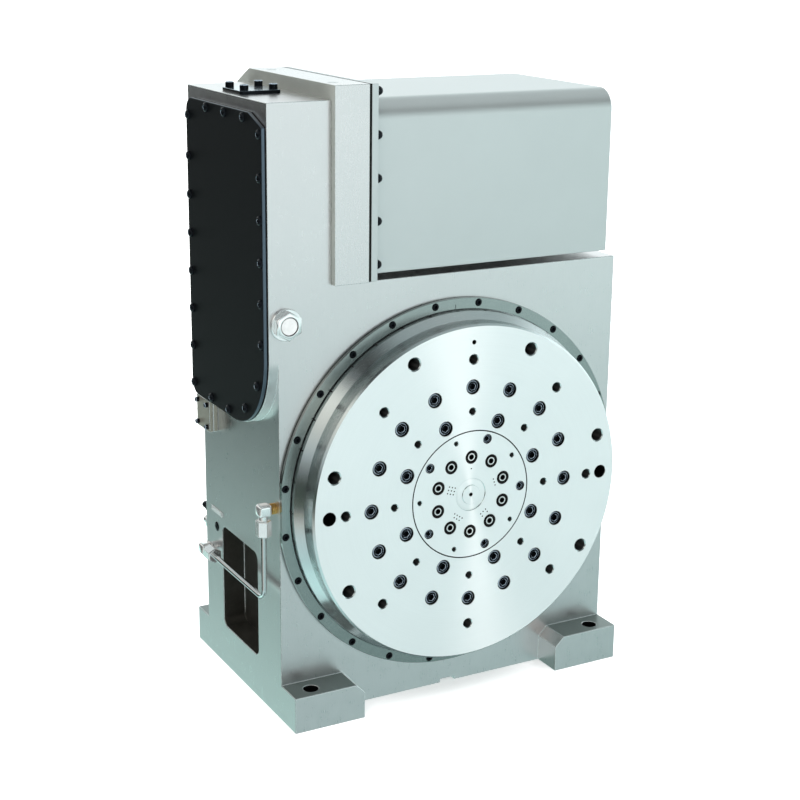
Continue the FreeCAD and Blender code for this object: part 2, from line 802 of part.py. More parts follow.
rotor = new_body("motor_rotor")
rotor_left = "plate_right + motor_end_wall + rotor_front_gap"
rotor_profile = [
    ("0", "plate_right - motor_shaft_long"),
    ("motor_shaft_r", "plate_right - motor_shaft_long"),
    ("motor_shaft_r", rotor_left),
    ("rotor_r", rotor_left),
    ("rotor_r", "motor_rear_x - rotor_rear_gap"),
    ("motor_tail_r", "motor_rear_x - rotor_rear_gap"),
    ("motor_tail_r", "motor_rear_x + cap_long / 2 - edge_break"),
    ("0", "motor_rear_x + cap_long / 2 - edge_break"),
]
turn(rotor, rotor_profile)
along_x(rotor, "worm_y", "motor_height")
keep(rotor, "motor_rotor")


# Spur gears with straight flanks, thinned to run with play
def spur_gear(teeth_name, height, first_angle):
    """A spur gear blank between gear_left and gear_right, one tooth at an angle from Y towards Z."""
    teeth = int(size(teeth_name))
    module = size("gear_module")
    pitch_r = module * teeth / 2
    half = math.pi * module / 4 - size("gear_thinning")
    slope = math.tan(math.radians(20))
    corners = []
    for offset in (-1.25, 1.0):
        radius = pitch_r + offset * module
        corners.append((radius, (half - offset * module * slope) / pitch_r))
    (root_r, root_turn), (tip_r, tip_turn) = corners
    points = []
    for i in range(teeth):
        middle = math.radians(first_angle) + 2 * math.pi * i / teeth
        flanks = ((root_r, -root_turn), (tip_r, -tip_turn), (tip_r, tip_turn), (root_r, root_turn))
        for radius, angle in flanks:
            turned = middle + angle
            y = size("worm_y") + radius * math.cos(turned)
            z = size(height) + radius * math.sin(turned)
            points.append(Vector(size("gear_left"), y, z))
    outline = Part.makePolygon(points + points[:1])
    return Part.Face(outline).extrude(Vector(size("gear_width"), 0, 0))


def x_cylinder(radius, left, right, height):
    """A cylinder on an axis to the right through worm_y and the given height."""
    start = Vector(size(left), size("worm_y"), size(height))
    return Part.makeCylinder(size(radius), size(right) - size(left), start, Vector(1, 0, 0))


hub_right = "(gear_right + gear_hub_long)"
worm_gear = spur_gear("worm_gear_teeth", "worm_height", 90)
gear_hub_r = "worm_gear_seat_r + gear_hub_wall"
worm_gear = worm_gear.fuse(x_cylinder(gear_hub_r, "gear_right", hub_right, "worm_height"))
coded("worm_gear", worm_gear.cut(x_cylinder("worm_gear_seat_r", "gear_left", hub_right, "worm_height")))

idler = spur_gear("idler_teeth", "idler_height", -90 + 180 / size("idler_teeth"))
idler_right = "cavity_right - idler_flange_thick - seat_gap"
idler_hub_r = "idler_journal_r + idler_hub_wall"
idler = idler.fuse(x_cylinder(idler_hub_r, "gear_right", idler_right, "idler_height"))
idler_bore = x_cylinder("idler_journal_r + running_clearance", "gear_left", "cavity_right", "idler_height")
coded("idler_gear", idler.cut(idler_bore))

motor_gear = spur_gear("motor_gear_teeth", "motor_height", -90)
motor_hub_right = "plate_right - motor_pilot_deep - motor_pilot_gap"
motor_gear = motor_gear.fuse(x_cylinder("motor_gear_hub_r", "gear_right", motor_hub_right, "motor_height"))
gear_bore = x_cylinder("motor_shaft_r", "plate_right - motor_shaft_long", "plate_right", "motor_height")
coded("motor_gear", motor_gear.cut(gear_bore))

seal_in_r = "motor_gear_hub_r + seat_gap"
seal_right = "case_right + oil_seal_thick"
x_ring("motor_oil_seal", seal_in_r, "shaft_hole_r", "case_right", seal_right, "worm_y", "motor_height")

idler_shaft = new_body("idler_shaft")
idler_profile = [
    ("0", "gear_left - seat_gap"),
    ("idler_journal_r", "gear_left - seat_gap"),
    ("idler_journal_r", "cavity_right - idler_flange_thick"),
    ("idler_journal_r + idler_flange_wall", "cavity_right - idler_flange_thick"),
    ("idler_journal_r + idler_flange_wall", "cavity_right"),
    ("0", "cavity_right"),
]
turn(idler_shaft, idler_profile)
along_x(idler_shaft, "worm_y", "idler_height")
keep(idler_shaft, "idler_shaft")

idler_retainer = new_body("idler_retainer")
retainer_right = "gear_left - seat_gap"
retainer_left = f"{retainer_right} - idler_retainer_thick"
turn(idler_retainer, solid_profile("idler_journal_r + idler_retainer_wall", retainer_left, retainer_right))
along_x(idler_retainer, "worm_y", "idler_height")
keep(idler_retainer, "idler_retainer")


# Worm: a turned shaft with one thread start, right handed
def rack_half(offset):
    """Half the thickness of a worm tooth at a height above the pitch line, in modules."""
    module = size("wheel_module")
    return math.pi * module / 4 - size("mesh_thinning") - offset * module * math.tan(math.radians(20))


def worm_thread():
    module = size("wheel_module")
    pitch = math.pi * module
    turns = size("worm_turns")
    start = (0.5 - round(turns / 2)) * pitch
    root_r = size("worm_pitch_r") - 1.25 * module - 0.4
    tip_r = size("worm_pitch_r") + module
    root_half = rack_half(-1.25)
    tip_half = rack_half(1.0)
    corners = [(root_r, -root_half), (tip_r, -tip_half), (tip_r, tip_half), (root_r, root_half)]
    points = [Vector(radius, 0, along) for radius, along in corners]
    section = Part.makePolygon(points + points[:1])
    helix = Part.makeHelix(pitch, pitch * turns, size("worm_pitch_r"))
    thread = Part.Wire(helix.Edges).makePipeShell([section], True, True)
    thread.translate(Vector(0, 0, start))
    return thread


worm = worm_thread()
for radius, left, right in (
    ("worm_core_r", "-worm_thread_half", "worm_thread_half"),
    ("worm_gear_seat_r", "gear_left - gear_nut_long - cut_over", hub_right),
    ("worm_journal_r", hub_right, "-worm_thread_half"),
    ("worm_journal_r", "worm_thread_half", "worm_tail_x"),
):
    step = Part.makeCylinder(size(radius), size(right) - size(left), Vector(0, 0, size(left)))
    worm = worm.fuse(step)
worm_shaft = coded("worm_shaft", worm)
worm_shaft.Placement = FreeCAD.Placement(
    Vector(0, size("worm_y"), size("worm_height")), FreeCAD.Rotation(Vector(0, 1, 0), 90)
)

# Worm bearings, their retainer and nuts, and the end cap in the right side
bearing_bore = "worm_journal_r + running_clearance"
second_bearing_x = "worm_left_bearing_x + worm_bearing_wide"
bearings = []
for number, left in enumerate(("worm_left_bearing_x", second_bearing_x, "worm_right_bearing_x"), 1):
    bearing = new_body(f"worm_bearing_{number}")
    turn(bearing, ring_profile(bearing_bore, "worm_bore_r", left, f"{left} + worm_bearing_wide"))
    along_x(bearing, "worm_y", "worm_height")
    bearings.append(bearing)
group("worm_bearings", bearings)

retainer = new_body("worm_bearing_retainer")
retainer_profile = [
    ("worm_bore_r - worm_retainer_hole", "cavity_right - worm_retainer_thick"),
    ("worm_bore_r + worm_retainer_lip", "cavity_right - worm_retainer_thick"),
    ("worm_bore_r + worm_retainer_lip", "cavity_right"),
    ("worm_bore_r - seat_gap", "cavity_right"),
    ("worm_bore_r - seat_gap", "worm_left_bearing_x"),
    ("worm_bore_r - worm_retainer_hole", "worm_left_bearing_x"),
]
turn(retainer, retainer_profile)
along_x(retainer, "worm_y", "worm_height")
keep(retainer, "worm_bearing_retainer")

nut_left = "cavity_right - worm_retainer_thick - worm_nut_proud"
nut_right = "worm_left_bearing_x - seat_gap"
nut_r = "worm_bore_r - worm_retainer_hole - worm_nut_gap"
x_ring("worm_lock_nut", "worm_journal_r", nut_r, nut_left, nut_right, "worm_y", "worm_height")
nut_left = "gear_left - gear_nut_long"
nut_r = "worm_gear_seat_r + gear_nut_wall"
x_ring("worm_gear_nut", "worm_gear_seat_r", nut_r, nut_left, "gear_left", "worm_y", "worm_height")

end_cap = new_body("worm_end_cap")
end_cap_profile = [
    ("0", "worm_tail_x + worm_tail_gap"),
    ("worm_bore_r - worm_end_cap_wall", "worm_tail_x + worm_tail_gap"),
    ("worm_bore_r - worm_end_cap_wall", "worm_right_bearing_x + worm_bearing_wide"),
    ("worm_bore_r - seat_gap / 3", "worm_right_bearing_x + worm_bearing_wide"),
    ("worm_bore_r - seat_gap / 3", "side_x"),
    ("worm_end_cap_r", "side_x"),
    ("worm_end_cap_r", "side_x + worm_end_cap_thick - edge_break"),
    ("worm_end_cap_r - edge_break", "side_x + worm_end_cap_thick"),
    ("0", "side_x + worm_end_cap_thick"),
]
turn(end_cap, end_cap_profile)
along_x(end_cap, "worm_y", "worm_height")
keep(end_cap, "worm_end_cap")

# Spindle: front flange, bearing journal, wheel seat, thread, rear journal
spindle_back = "rear_bearing_back_z - spindle_tail"
thread_back = "wheel_back_z - spindle_nut_wide - thread_relief"
spindle_profile = [
    ("spindle_bore_r", spindle_back),
    ("rear_journal_r", spindle_back),
    ("rear_journal_r", thread_back),
    ("thread_r", thread_back),
    ("thread_r", "wheel_back_z + thread_run"),
    ("wheel_seat_r", "wheel_back_z + thread_run"),
    ("wheel_seat_r", "bearing_back_z"),
    ("journal_r", "bearing_back_z"),
    ("journal_r", "bearing_front_z"),
    ("inner_race_r", "bearing_front_z"),
    ("inner_race_r", "bearing_front_z + race_lift"),
    ("spindle_flange_r", "bearing_front_z + race_lift"),
    ("spindle_flange_r", "disc_back_z"),
    ("spindle_bore_r", "disc_back_z"),
]
spindle = new_body("spindle")
turn(spindle, spindle_profile)


def key_way(side, low, high):
    """The place of one key, seen along the table's axis."""
    return box(f"{side} * {low}", "-key_width / 2", f"{side} * {high}", "key_width / 2")


key_low = "(wheel_seat_r - key_tall / 2)"
key_high = "(wheel_seat_r + key_tall / 2)"
key_back = "(wheel_back_z + key_inset)"
key_front = f"({key_back} + wheel_width - key_short)"
key_ways = [key_way(side, key_low, "(wheel_seat_r + cut_over)") for side in (-1, 1)]
cut(spindle, "Z", key_back, key_front, key_ways)
on_table_axis(spindle)
keep(spindle, "spindle")

keys = []
for number, side in enumerate((-1, 1), 1):
    key = new_body(f"wheel_key_{number}")
    extrude(key, "Z", key_back, key_front, [key_way(side, key_low, key_high)])
    on_table_axis(key)
    keys.append(key)
group("wheel_keys", keys)


# Worm wheel: teeth slanted by the worm's lead angle, on a hub that bears on the bearing's inner ring
def wheel_teeth_outline(height):
    teeth = int(size("wheel_teeth"))
    pitch_r = size("wheel_pitch_r")
    lead = size("wheel_module") / (2 * size("worm_pitch_r"))
    slant = (height - size("wheel_mid_z")) * lead / pitch_r
    module = size("wheel_module")
    points = []
    for i in range(teeth):
        middle = math.pi / 2 + slant + 2 * math.pi * i / teeth
        for offset, side in ((-1.25, -1), (1.0, -1), (1.0, 1), (-1.25, 1)):
            radius = pitch_r + offset * module
            angle = middle + side * rack_half(offset) / pitch_r
            points.append(Vector(radius * math.cos(angle), radius * math.sin(angle), height))
    return Part.makePolygon(points + points[:1])


back, front = size("wheel_back_z"), size("wheel_front_z")
wheel = Part.makeLoft([wheel_teeth_outline(back), wheel_teeth_outline(front)], True, True)
hub = Part.makeCylinder(size("inner_race_r"), size("bearing_back_z") - front, Vector(0, 0, front))
bore = Part.makeCylinder(size("wheel_seat_r"), size("bearing_back_z") - back, Vector(0, 0, back))
wheel = wheel.fuse(hub).cut(bore)
for side in (-1, 1):
    corner = Vector(0, -size("key_width") / 2, back)
    way = Part.makeBox(size(key_high), size("key_width"), size(key_front) - back, corner)
    wheel = wheel.cut(way if side > 0 else way.mirror(Vector(), Vector(1, 0, 0)))
worm_wheel = coded("worm_wheel", wheel)
worm_wheel.Placement = spindle.Placement

nut_back = "wheel_back_z - spindle_nut_wide"
table_ring("spindle_lock_nut", "thread_r", "thread_r + spindle_nut_wall", nut_back, "wheel_back_z")

# Main bearing: a ring of rollers between two rings, and the retainer of the outer ring
table_ring("main_bearing_inner", "journal_r", "inner_race_r", "bearing_back_z", "bearing_front_z")
table_ring("main_bearing_outer", "outer_race_r", "bearing_r", "bearing_back_z", "bearing_front_z")
roller_in = "inner_race_r + running_clearance"
roller_out = "outer_race_r - running_clearance"
roller_back = "bearing_back_z + roller_edge"
roller_front = "bearing_front_z - roller_edge"
table_ring("main_bearing_rollers", roller_in, roller_out, roller_back, roller_front)

bearing_retainer = new_body("bearing_retainer")
bearing_retainer_profile = [
    ("spindle_flange_r + retainer_hole_gap", "bearing_front_z"),
    ("bearing_r - seat_gap", "bearing_front_z"),
    ("bearing_r - seat_gap", "retainer_step_z"),
    ("retainer_r - seat_gap", "retainer_step_z"),
    ("retainer_r - seat_gap", "disc_room_floor_z"),
    ("spindle_flange_r + retainer_hole_gap", "disc_room_floor_z"),
]
turn(bearing_retainer, bearing_retainer_profile)
on_table_axis(bearing_retainer)
keep(bearing_retainer, "bearing_retainer")

# Clamp: the disc turns with the spindle between a ring piston and a fixed ring
table_ring("clamp_disc", "hub_bore_r", "disc_room_r - disc_edge_gap", "disc_back_z", "seat_z")
piston_inner = "piston_in_r + running_clearance"
piston_outer = "piston_out_r - running_clearance"
piston_back = "disc_room_floor_z - piston_deep + piston_lift"
table_ring("clamp_piston", piston_inner, piston_outer, piston_back, "disc_back_z - piston_gap")
clamp_front = "recess_floor_z + clamp_ring_thick"
clamp_in_r = "relief_r + clamp_ring_gap"
table_ring("clamp_ring", clamp_in_r, "recess_r - seat_gap", "recess_floor_z", clamp_front)

# Faceplate
faceplate = new_body("faceplate")
face_profile = [
    ("hub_bore_r", "seat_z"),
    ("relief_r", "seat_z"),
    ("relief_r", "front_z + rim_back_gap"),
    ("rim_r", "front_z + rim_back_gap"),
    ("rim_r", "face_z - cone_drop - cone_long"),
    ("table_r", "face_z - cone_drop"),
    ("table_r", "face_z - face_chamfer"),
    ("table_r - face_chamfer", "face_z"),
    ("insert_r + insert_gap", "face_z"),
    ("insert_r + insert_gap", "insert_floor_z"),
    ("hub_bore_r", "insert_floor_z"),
]
turn(faceplate, face_profile)
wells = circle_of("outer_screw_pcd", "screw_well_r", evenly(16, 0))
wells += circle_of("inner_screw_pcd", "screw_well_r", evenly(8, 22.5))
cut(faceplate, "Z", "face_z - screw_well_deep", "face_z", wells)
tapped = circle_of("small_tap_pcd", "small_tap_r", evenly(8, 0))
tapped += circle_of("medium_tap_pcd", "medium_tap_r", evenly(8, 0))
tapped += circle_of("large_tap_pcd", "large_tap_r", (15, 65, 115, 165, 210, 330))
tapped += circle_of("large_tap_pcd", "dowel_r", (0, 180))
tapped += circle_of("large_tap_pcd", "setting_hole_r", (90,))
cut(faceplate, "Z", "face_z - tap_deep", "face_z", tapped)
on_table_axis(faceplate)
keep(faceplate, "faceplate")

# Centre insert with its ports
insert = new_body("centre_insert")
turn(insert, solid_profile("insert_r", "insert_floor_z", "face_z"))
cut(insert, "Z", "face_z - port_deep", "face_z", circle_of("port_pcd", "port_r", evenly(10, 18)))
insert_holes = circle_of("insert_screw_pcd", "insert_well_r", evenly(5, 0))
insert_holes += circle_of("insert_screw_pcd", "insert_tap_r", evenly(5, 36))
insert_holes.append(("0", "0", "centre_hole_r"))
cut(insert, "Z", "face_z - screw_well_deep", "face_z", insert_holes)
on_table_axis(insert)
keep(insert, "centre_insert")

# Front ring: flat on both sides where it meets the sides of the body
front_ring = new_body("front_ring")
turn(front_ring, ring_profile("ring_in_r", "ring_out_r", "front_z", "front_z + ring_proud"))
beyond = [
    box("side_x", "-ring_out_r", "ring_out_r + cut_over", "ring_out_r"),
    box("-ring_out_r - cut_over", "-ring_out_r", "-side_x", "ring_out_r"),
]
cut(front_ring, "Z", "front_z", "front_z + ring_proud", beyond)
on_table_axis(front_ring)
keep(front_ring, "front_ring")

# Rear housing with the rear bearing, the cap and the rotary distributor
housing_front = "rear_bearing_front_z + rear_housing_lip"
housing_in_r = "rear_bearing_r - rear_shoulder"
rear_housing = new_body("rear_housing")
rear_profile = [
    (housing_in_r, "rear_face_z"),
    ("rear_flange_r - edge_break", "rear_face_z"),
    ("rear_flange_r", "rear_face_z + edge_break"),
    ("rear_flange_r", "-front_z"),
    ("wheel_room_r - seat_gap", "-front_z"),
    ("wheel_room_r - seat_gap", housing_front),
    ("rear_bearing_r", housing_front),
    ("rear_bearing_r", "rear_bearing_back_z"),
    (housing_in_r, "rear_bearing_back_z"),
]
turn(rear_housing, rear_profile)
on_table_axis(rear_housing)
keep(rear_housing, "rear_housing")
bearing_in_r = "rear_journal_r + running_clearance"
table_ring("rear_bearing", bearing_in_r, "rear_bearing_r", "rear_bearing_back_z", "rear_bearing_front_z")
nut_r = "rear_journal_r + rear_nut_wall"
nut_back = "rear_bearing_back_z - rear_nut_wide"
table_ring("rear_bearing_nut", "rear_journal_r", nut_r, nut_back, "rear_bearing_back_z - seat_gap")
table_ring("rear_cap", "hub_bore_r", "rear_bearing_r + rear_cap_step", "rear_cap_z", "rear_face_z")

distributor = new_body("rotary_distributor")
column_r = "(spindle_bore_r - running_clearance)"
distributor_r = "spindle_bore_r + distributor_flange_wall"
distributor_profile = [
    ("0", "rear_cap_z - distributor_flange_thick"),
    (distributor_r, "rear_cap_z - distributor_flange_thick"),
    (distributor_r, "rear_cap_z"),
    (column_r, "rear_cap_z"),
    (column_r, "disc_back_z - distributor_end_gap"),
    ("0", "disc_back_z - distributor_end_gap"),
]
turn(distributor, distributor_profile)
on_table_axis(distributor)
keep(distributor, "rotary_distributor")

# Oil sight glass
sight = new_body("sight_glass_body")
flange_y = "(-front_z - sight_flange_thick)"
hex_y = f"({flange_y} - sight_hex_tall)"
extrude(sight, "Y", flange_y, "-front_z", [("sight_x", "sight_height", "sight_flange_r")])
extrude(sight, "Y", hex_y, flange_y, [hexagon("sight_x", "sight_height", "sight_hex")])
extrude(sight, "Y", "-front_z", "case_rim - front_z", [("sight_x", "sight_height", "sight_bore_r")])
cut(sight, "Y", hex_y, f"{hex_y} + sight_window_deep", [("sight_x", "sight_height", "sight_window_r")])
keep(sight, "sight_glass_body")
window = new_body("sight_glass_window")
pane = ("sight_x", "sight_height", "sight_window_r")
extrude(window, "Y", f"{hex_y} + sight_window_drop", f"{hex_y} + sight_window_deep", [pane])
keep(window, "sight_glass_window")


# Hydraulic line: nipples in the left side, elbows, nuts and one bent tube
def nipple(number, y, height):
    body = new_body(f"nipple_{number}")
    profile = [
        ("0", "-side_x - nipple_collar_long"),
        ("nipple_collar_r", "-side_x - nipple_collar_long"),
        ("nipple_collar_r", "-side_x"),
        ("nipple_r", "-side_x"),
        ("nipple_r", "nipple_deep - side_x"),
        ("0", "nipple_deep - side_x"),
    ]
    turn(body, profile)
    along_x(body, y, height)
    return body


front_nipple = nipple(1, "line_front_y", "line_front_height")
rear_nipple = nipple(2, "line_rear_y", "line_rear_height")
group("line_nipples", [front_nipple, rear_nipple])


def bent_rod(start, corner, end, bend, radius):
    """A round rod from start to end with one tangent bend at its square corner."""
    to_start = (start - corner).normalize()
    to_end = (end - corner).normalize()
    before = corner + to_start * bend
    after = corner + to_end * bend
    middle = corner + (to_start + to_end) * bend * (1 - math.sqrt(0.5))
    route = Part.Wire(
        [
            Part.LineSegment(start, before).toShape(),
            Part.Arc(before, middle, after).toShape(),
            Part.LineSegment(after, end).toShape(),
        ]
    )
    section = Part.Wire(Part.Circle(start, to_start, radius).toShape())
    rod = route.makePipeShell([section], True, True)
    wanted = math.pi * radius**2 * route.Length
    print(f"rod of {route.Length:.0f} mm: volume {rod.Volume:.0f} for {wanted:.0f} mm3")
    return rod


front_corner = Vector(size("line_x"), size("line_front_y"), size("line_front_height"))
rear_corner = Vector(size("line_x"), size("line_rear_y"), size("line_rear_height"))
low_corner = Vector(size("line_x"), size("line_front_y"), size("line_rear_height"))
to_body = Vector(size("line_off - nipple_collar_long"), 0, 0)
down_leg = Vector(0, 0, -size("elbow_leg"))
front_leg = Vector(0, -size("elbow_leg"), 0)
elbows = [
    bent_rod(corner + to_body, corner, corner + leg, size("elbow_bend"), size("elbow_r"))
    for corner, leg in ((front_corner, down_leg), (rear_corner, front_leg))
]
coded("line_elbows", Part.makeCompound(elbows))
tube_top = front_corner + down_leg
tube_end = rear_corner + front_leg
coded("pressure_tube", bent_rod(tube_top, low_corner, tube_end, size("tube_bend"), size("tube_r")))

nut_top = "(line_front_height - elbow_leg)"
nut_back = "(line_rear_y - elbow_leg)"
front_nut = new_body("tube_nut_front")
front_section = [hexagon("line_x", "line_front_y", "nut_hex"), ("line_x", "line_front_y", "tube_r")]
extrude(front_nut, "Z", f"{nut_top} - nut_long", nut_top, front_section)
rear_nut = new_body("tube_nut_rear")
rear_section = [hexagon("line_x", "line_rear_height", "nut_hex"), ("line_x", "line_rear_height", "tube_r")]
extrude(rear_nut, "Y", f"{nut_back} - nut_long", nut_back, rear_section)
group("tube_nuts", [front_nut, rear_nut])

# Terminal box, tag plate and rear fitting
terminal_rear = "terminal_front_y + terminal_wide"
terminal_edges = box("terminal_front_y", "terminal_low", terminal_rear, "terminal_low + terminal_tall")
terminal_box = new_body("terminal_box")
extrude(terminal_box, "X", "-side_x - terminal_box_thick", "-side_x", [terminal_edges])
keep(terminal_box, "terminal_box")
terminal_lid = new_body("terminal_lid")
lid_left = "-side_x - terminal_box_thick - terminal_lid_thick"
extrude(terminal_lid, "X", lid_left, "-side_x - terminal_box_thick", [terminal_edges])
keep(terminal_lid, "terminal_lid")
tag = new_body("tag_plate")
tag_low = "line_rear_height + tag_above_line"
tag_edges = box("tag_front_y", tag_low, "tag_front_y + tag_wide", f"{tag_low} + tag_tall")
extrude(tag, "X", "-side_x - tag_thick", "-side_x", [tag_edges])
keep(tag, "tag_plate")
fitting = new_body("rear_fitting")
fitting_x = "(fitting_inset - side_x)"
hex_end = "front_z + fitting_hex_long"
extrude(fitting, "Y", "front_z", hex_end, [hexagon(fitting_x, "fitting_height", "fitting_hex")])
nose = (fitting_x, "fitting_height", "fitting_nose_r")
extrude(fitting, "Y", hex_end, f"{hex_end} + fitting_nose_long", [nose])
keep(fitting, "rear_fitting")

# Every piece is checked, then written to a file of its own
doc.recompute()
for item in doc.Objects:
    if "Invalid" in item.State or "Error" in item.State:
        raise RuntimeError(f"{item.Label}: {item.State}")
os.makedirs("parts", exist_ok=True)
for piece in parts:
    shape = piece.Shape
    if shape.isNull() or not shape.isValid() or not shape.Solids:
        raise RuntimeError(f"{piece.Label} has no valid solid")
    shape.exportStep(f"parts/{piece.Label}.step")
    print(f"{piece.Label}: {len(shape.Solids)} solid(s), {shape.Volume / 1000:.1f} cm3")
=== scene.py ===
# %% [markdown]
# # An upright rotary table
# The machine stands on four feet. A round steel table turns in front, a black cover closes the gear case on
# the left, and a grey hood covers the motor on top. The packed solids are loaded as a fixed frame: each one
# either keeps its form and gets a finish, or a more detailed piece stands in for it at the same place.

import json
from math import cos, pi, radians, sin, sqrt

import bmesh
import bpy
from bmesh.types import BMEdge, BMFace, BMVert
from mathutils import Matrix, Vector


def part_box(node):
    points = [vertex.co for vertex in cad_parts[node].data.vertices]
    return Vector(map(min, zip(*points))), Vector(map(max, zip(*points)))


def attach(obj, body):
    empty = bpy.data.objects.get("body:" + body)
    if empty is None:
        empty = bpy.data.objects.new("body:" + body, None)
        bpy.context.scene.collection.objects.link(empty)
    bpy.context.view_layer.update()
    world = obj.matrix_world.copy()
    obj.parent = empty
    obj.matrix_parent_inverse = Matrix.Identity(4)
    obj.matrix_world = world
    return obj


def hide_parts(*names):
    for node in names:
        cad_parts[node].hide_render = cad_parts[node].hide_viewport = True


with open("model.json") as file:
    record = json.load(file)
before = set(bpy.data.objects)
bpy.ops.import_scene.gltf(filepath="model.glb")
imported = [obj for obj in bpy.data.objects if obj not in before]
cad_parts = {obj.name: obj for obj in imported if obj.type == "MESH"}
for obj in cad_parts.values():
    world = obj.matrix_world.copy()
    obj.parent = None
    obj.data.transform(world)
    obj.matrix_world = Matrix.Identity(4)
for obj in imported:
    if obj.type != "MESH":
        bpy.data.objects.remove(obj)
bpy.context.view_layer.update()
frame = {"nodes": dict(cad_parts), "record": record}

# %% [markdown]
# ## Outlines, corners and edges
# Everything is drawn in millimetres, as on a workshop drawing, and made small at the end. A flat outline is
# pulled into a prism, and its corners are rounded with a bevel afterwards. Typing long lists of points would
# also work, but an outline of a few corners is easier to read and to change.

# %% Prisms and rounded edges
MM = 0.001
ALONG = {
    "X": lambda u, v, w: (w, u, v),
    "Y": lambda u, v, w: (u, w, v),
    "Z": lambda u, v, w: (u, v, w),
}
ACROSS = {"X": (1, 2), "Z": (0, 1)}


def only(kind, items):
    """The items of one kind: points, edges or faces."""
    return [item for item in items if isinstance(item, kind)]


def prism(outline, axis, start, stop):
    """An outline of corners, pulled along an axis from start to stop."""
    bm = bmesh.new()
    face = bm.faces.new([bm.verts.new(ALONG[axis](u, v, start)) for u, v in outline])
    made = bmesh.ops.extrude_face_region(bm, geom=[face])["geom"]
    bmesh.ops.translate(bm, vec=ALONG[axis](0, 0, stop - start), verts=only(BMVert, made))
    return bm


def rectangle(u0, v0, u1, v1):
    return [(u0, v0), (u1, v0), (u1, v1), (u0, v1)]


def round_edges(bm, edges, radius, segments):
    """Rounds some edges, and gives back the new narrow faces."""
    return bmesh.ops.bevel(
        bm, geom=edges, offset=radius, segments=segments, profile=0.5, affect="EDGES", material=-1,
    )["faces"]


def round_corners(bm, axis, spots, radius, segments):
    """Rounds the edges that run along an axis through the given corners."""
    edges = []
    for edge in bm.edges:
        near, far = [Vector([vert.co[i] for i in ACROSS[axis]]) for vert in edge.verts]
        if (near - far).length < 0.01 and min((near - Vector(spot)).length for spot in spots) < 0.01:
            edges.append(edge)
    round_edges(bm, edges, radius, segments)


print("drawing unit:", MM, "m")

# %% [markdown]
# ## Turned pieces and holes
# Round pieces come from a lathe, so a half profile is spun about the axis. A hole is the reverse: the rim of
# the hole lies in a flat face and is pulled inwards step by step, as a drill and a countersink would cut it.
# A step may name another finish, so that the wall of a hole can be painted darker than its mouth: painted
# shade.

# %% Spinning and sinking
SAME_POINT = 0.001


def join_points(bm, near=SAME_POINT):
    bmesh.ops.remove_doubles(bm, verts=bm.verts, dist=near)


def turned(profile, steps, closed=False):
    """A profile of radius and height, spun once about Z."""
    bm = bmesh.new()
    verts = [bm.verts.new((radius, 0, height)) for radius, height in profile]
    pairs = list(zip(verts, verts[1:]))
    if closed:
        pairs.append((verts[-1], verts[0]))
    edges = [bm.edges.new(pair) for pair in pairs]
    bmesh.ops.spin(
        bm, geom=verts + edges, cent=(0, 0, 0), axis=(0, 0, 1),
        angle=2 * pi, steps=steps, use_merge=True,
    )
    join_points(bm)
    return bm


def ring_of(bm, radius, steps, height=0, centre=(0, 0)):
    """The edges of a circle, or of a hexagon with six steps."""
    made = bmesh.ops.create_circle(bm, radius=radius, segments=steps)
    bmesh.ops.translate(bm, vec=(*centre, height), verts=made["verts"])
    return list({edge for vert in made["verts"] for edge in vert.link_edges})


def drawn_out(bm, rim):
    """Draws a rim out into a wall that has no width yet: its points, its new rim and its faces."""
    made = bmesh.ops.extrude_edge_only(bm, edges=rim)["geom"]
    verts = only(BMVert, made)
    fresh = set(verts)
    return verts, [edge for edge in only(BMEdge, made) if fresh.issuperset(edge.verts)], only(BMFace, made)


def sink(bm, rim, walls, centre=(0, 0), close=True):
    """Pulls a round rim on through steps of radius, height and finish number, and closes its end."""
    middle = Vector((*centre, 0))
    coat = 0
    for radius, height, *number in walls:
        coat = number[0] if number else 0
        verts, rim, faces = drawn_out(bm, rim)
        grow = radius / (verts[0].co - middle).xy.length
        bmesh.ops.scale(bm, vec=(grow, grow, 1), space=Matrix.Translation(-middle), verts=verts)
        bmesh.ops.translate(bm, vec=(0, 0, height - verts[0].co.z), verts=verts)
        for face in faces:
            face.material_index = coat
    if close:
        for face in bmesh.ops.edgeloop_fill(bm, edges=rim)["faces"]:
            face.material_index = coat
    return rim


def fill_between(bm, rims):
    """A flat face that leaves out the holes among its rims."""
    bmesh.ops.triangle_fill(bm, edges=rims, use_beauty=True, normal=(0, 0, 1))


def drilled(bm, rims, holes):
    """A flat face at height 0 between the rims, with holes of the given walls."""
    walls_of = []
    for spots, walls in holes:
        for spot in spots:
            walls_of.append((ring_of(bm, walls[0][0], 28, walls[0][1], spot), walls[1:], spot))
    fill_between(bm, rims + [edge for rim, walls, spot in walls_of for edge in rim])
    for rim, walls, spot in walls_of:
        sink(bm, rim, walls, spot)


def on_circle(radius, angles):
    return [(radius * cos(radians(a)), radius * sin(radians(a))) for a in angles]


def evenly(radius, count, first):
    return on_circle(radius, [first + 360 * i / count for i in range(count)])


print("first of three holes on a circle:", evenly(100, 3, 90)[0])

# %% [markdown]
# ## Placing and finishing
# A shape is drawn upright at the origin, then turned to face its side of the machine and moved there, so the
# object itself can stay unturned. One function ends every piece: it joins doubled points, turns the faces
# outwards, scales to metres, keeps sharp edges sharp, and says which body the piece rides on.

# %% Placing
def mesh_of(name, bm):
    """A mesh of a shape, which is given up."""
    mesh = bpy.data.meshes.new(name)
    bm.to_mesh(mesh)
    bm.free()
    return mesh


FACING = {"up": Matrix.Identity(4)}
for way, angle, axis in (("front", 90, "X"), ("back", -90, "X"), ("right", 90, "Y"), ("left", -90, "Y")):
    FACING[way] = Matrix.Rotation(radians(angle), 4, axis)


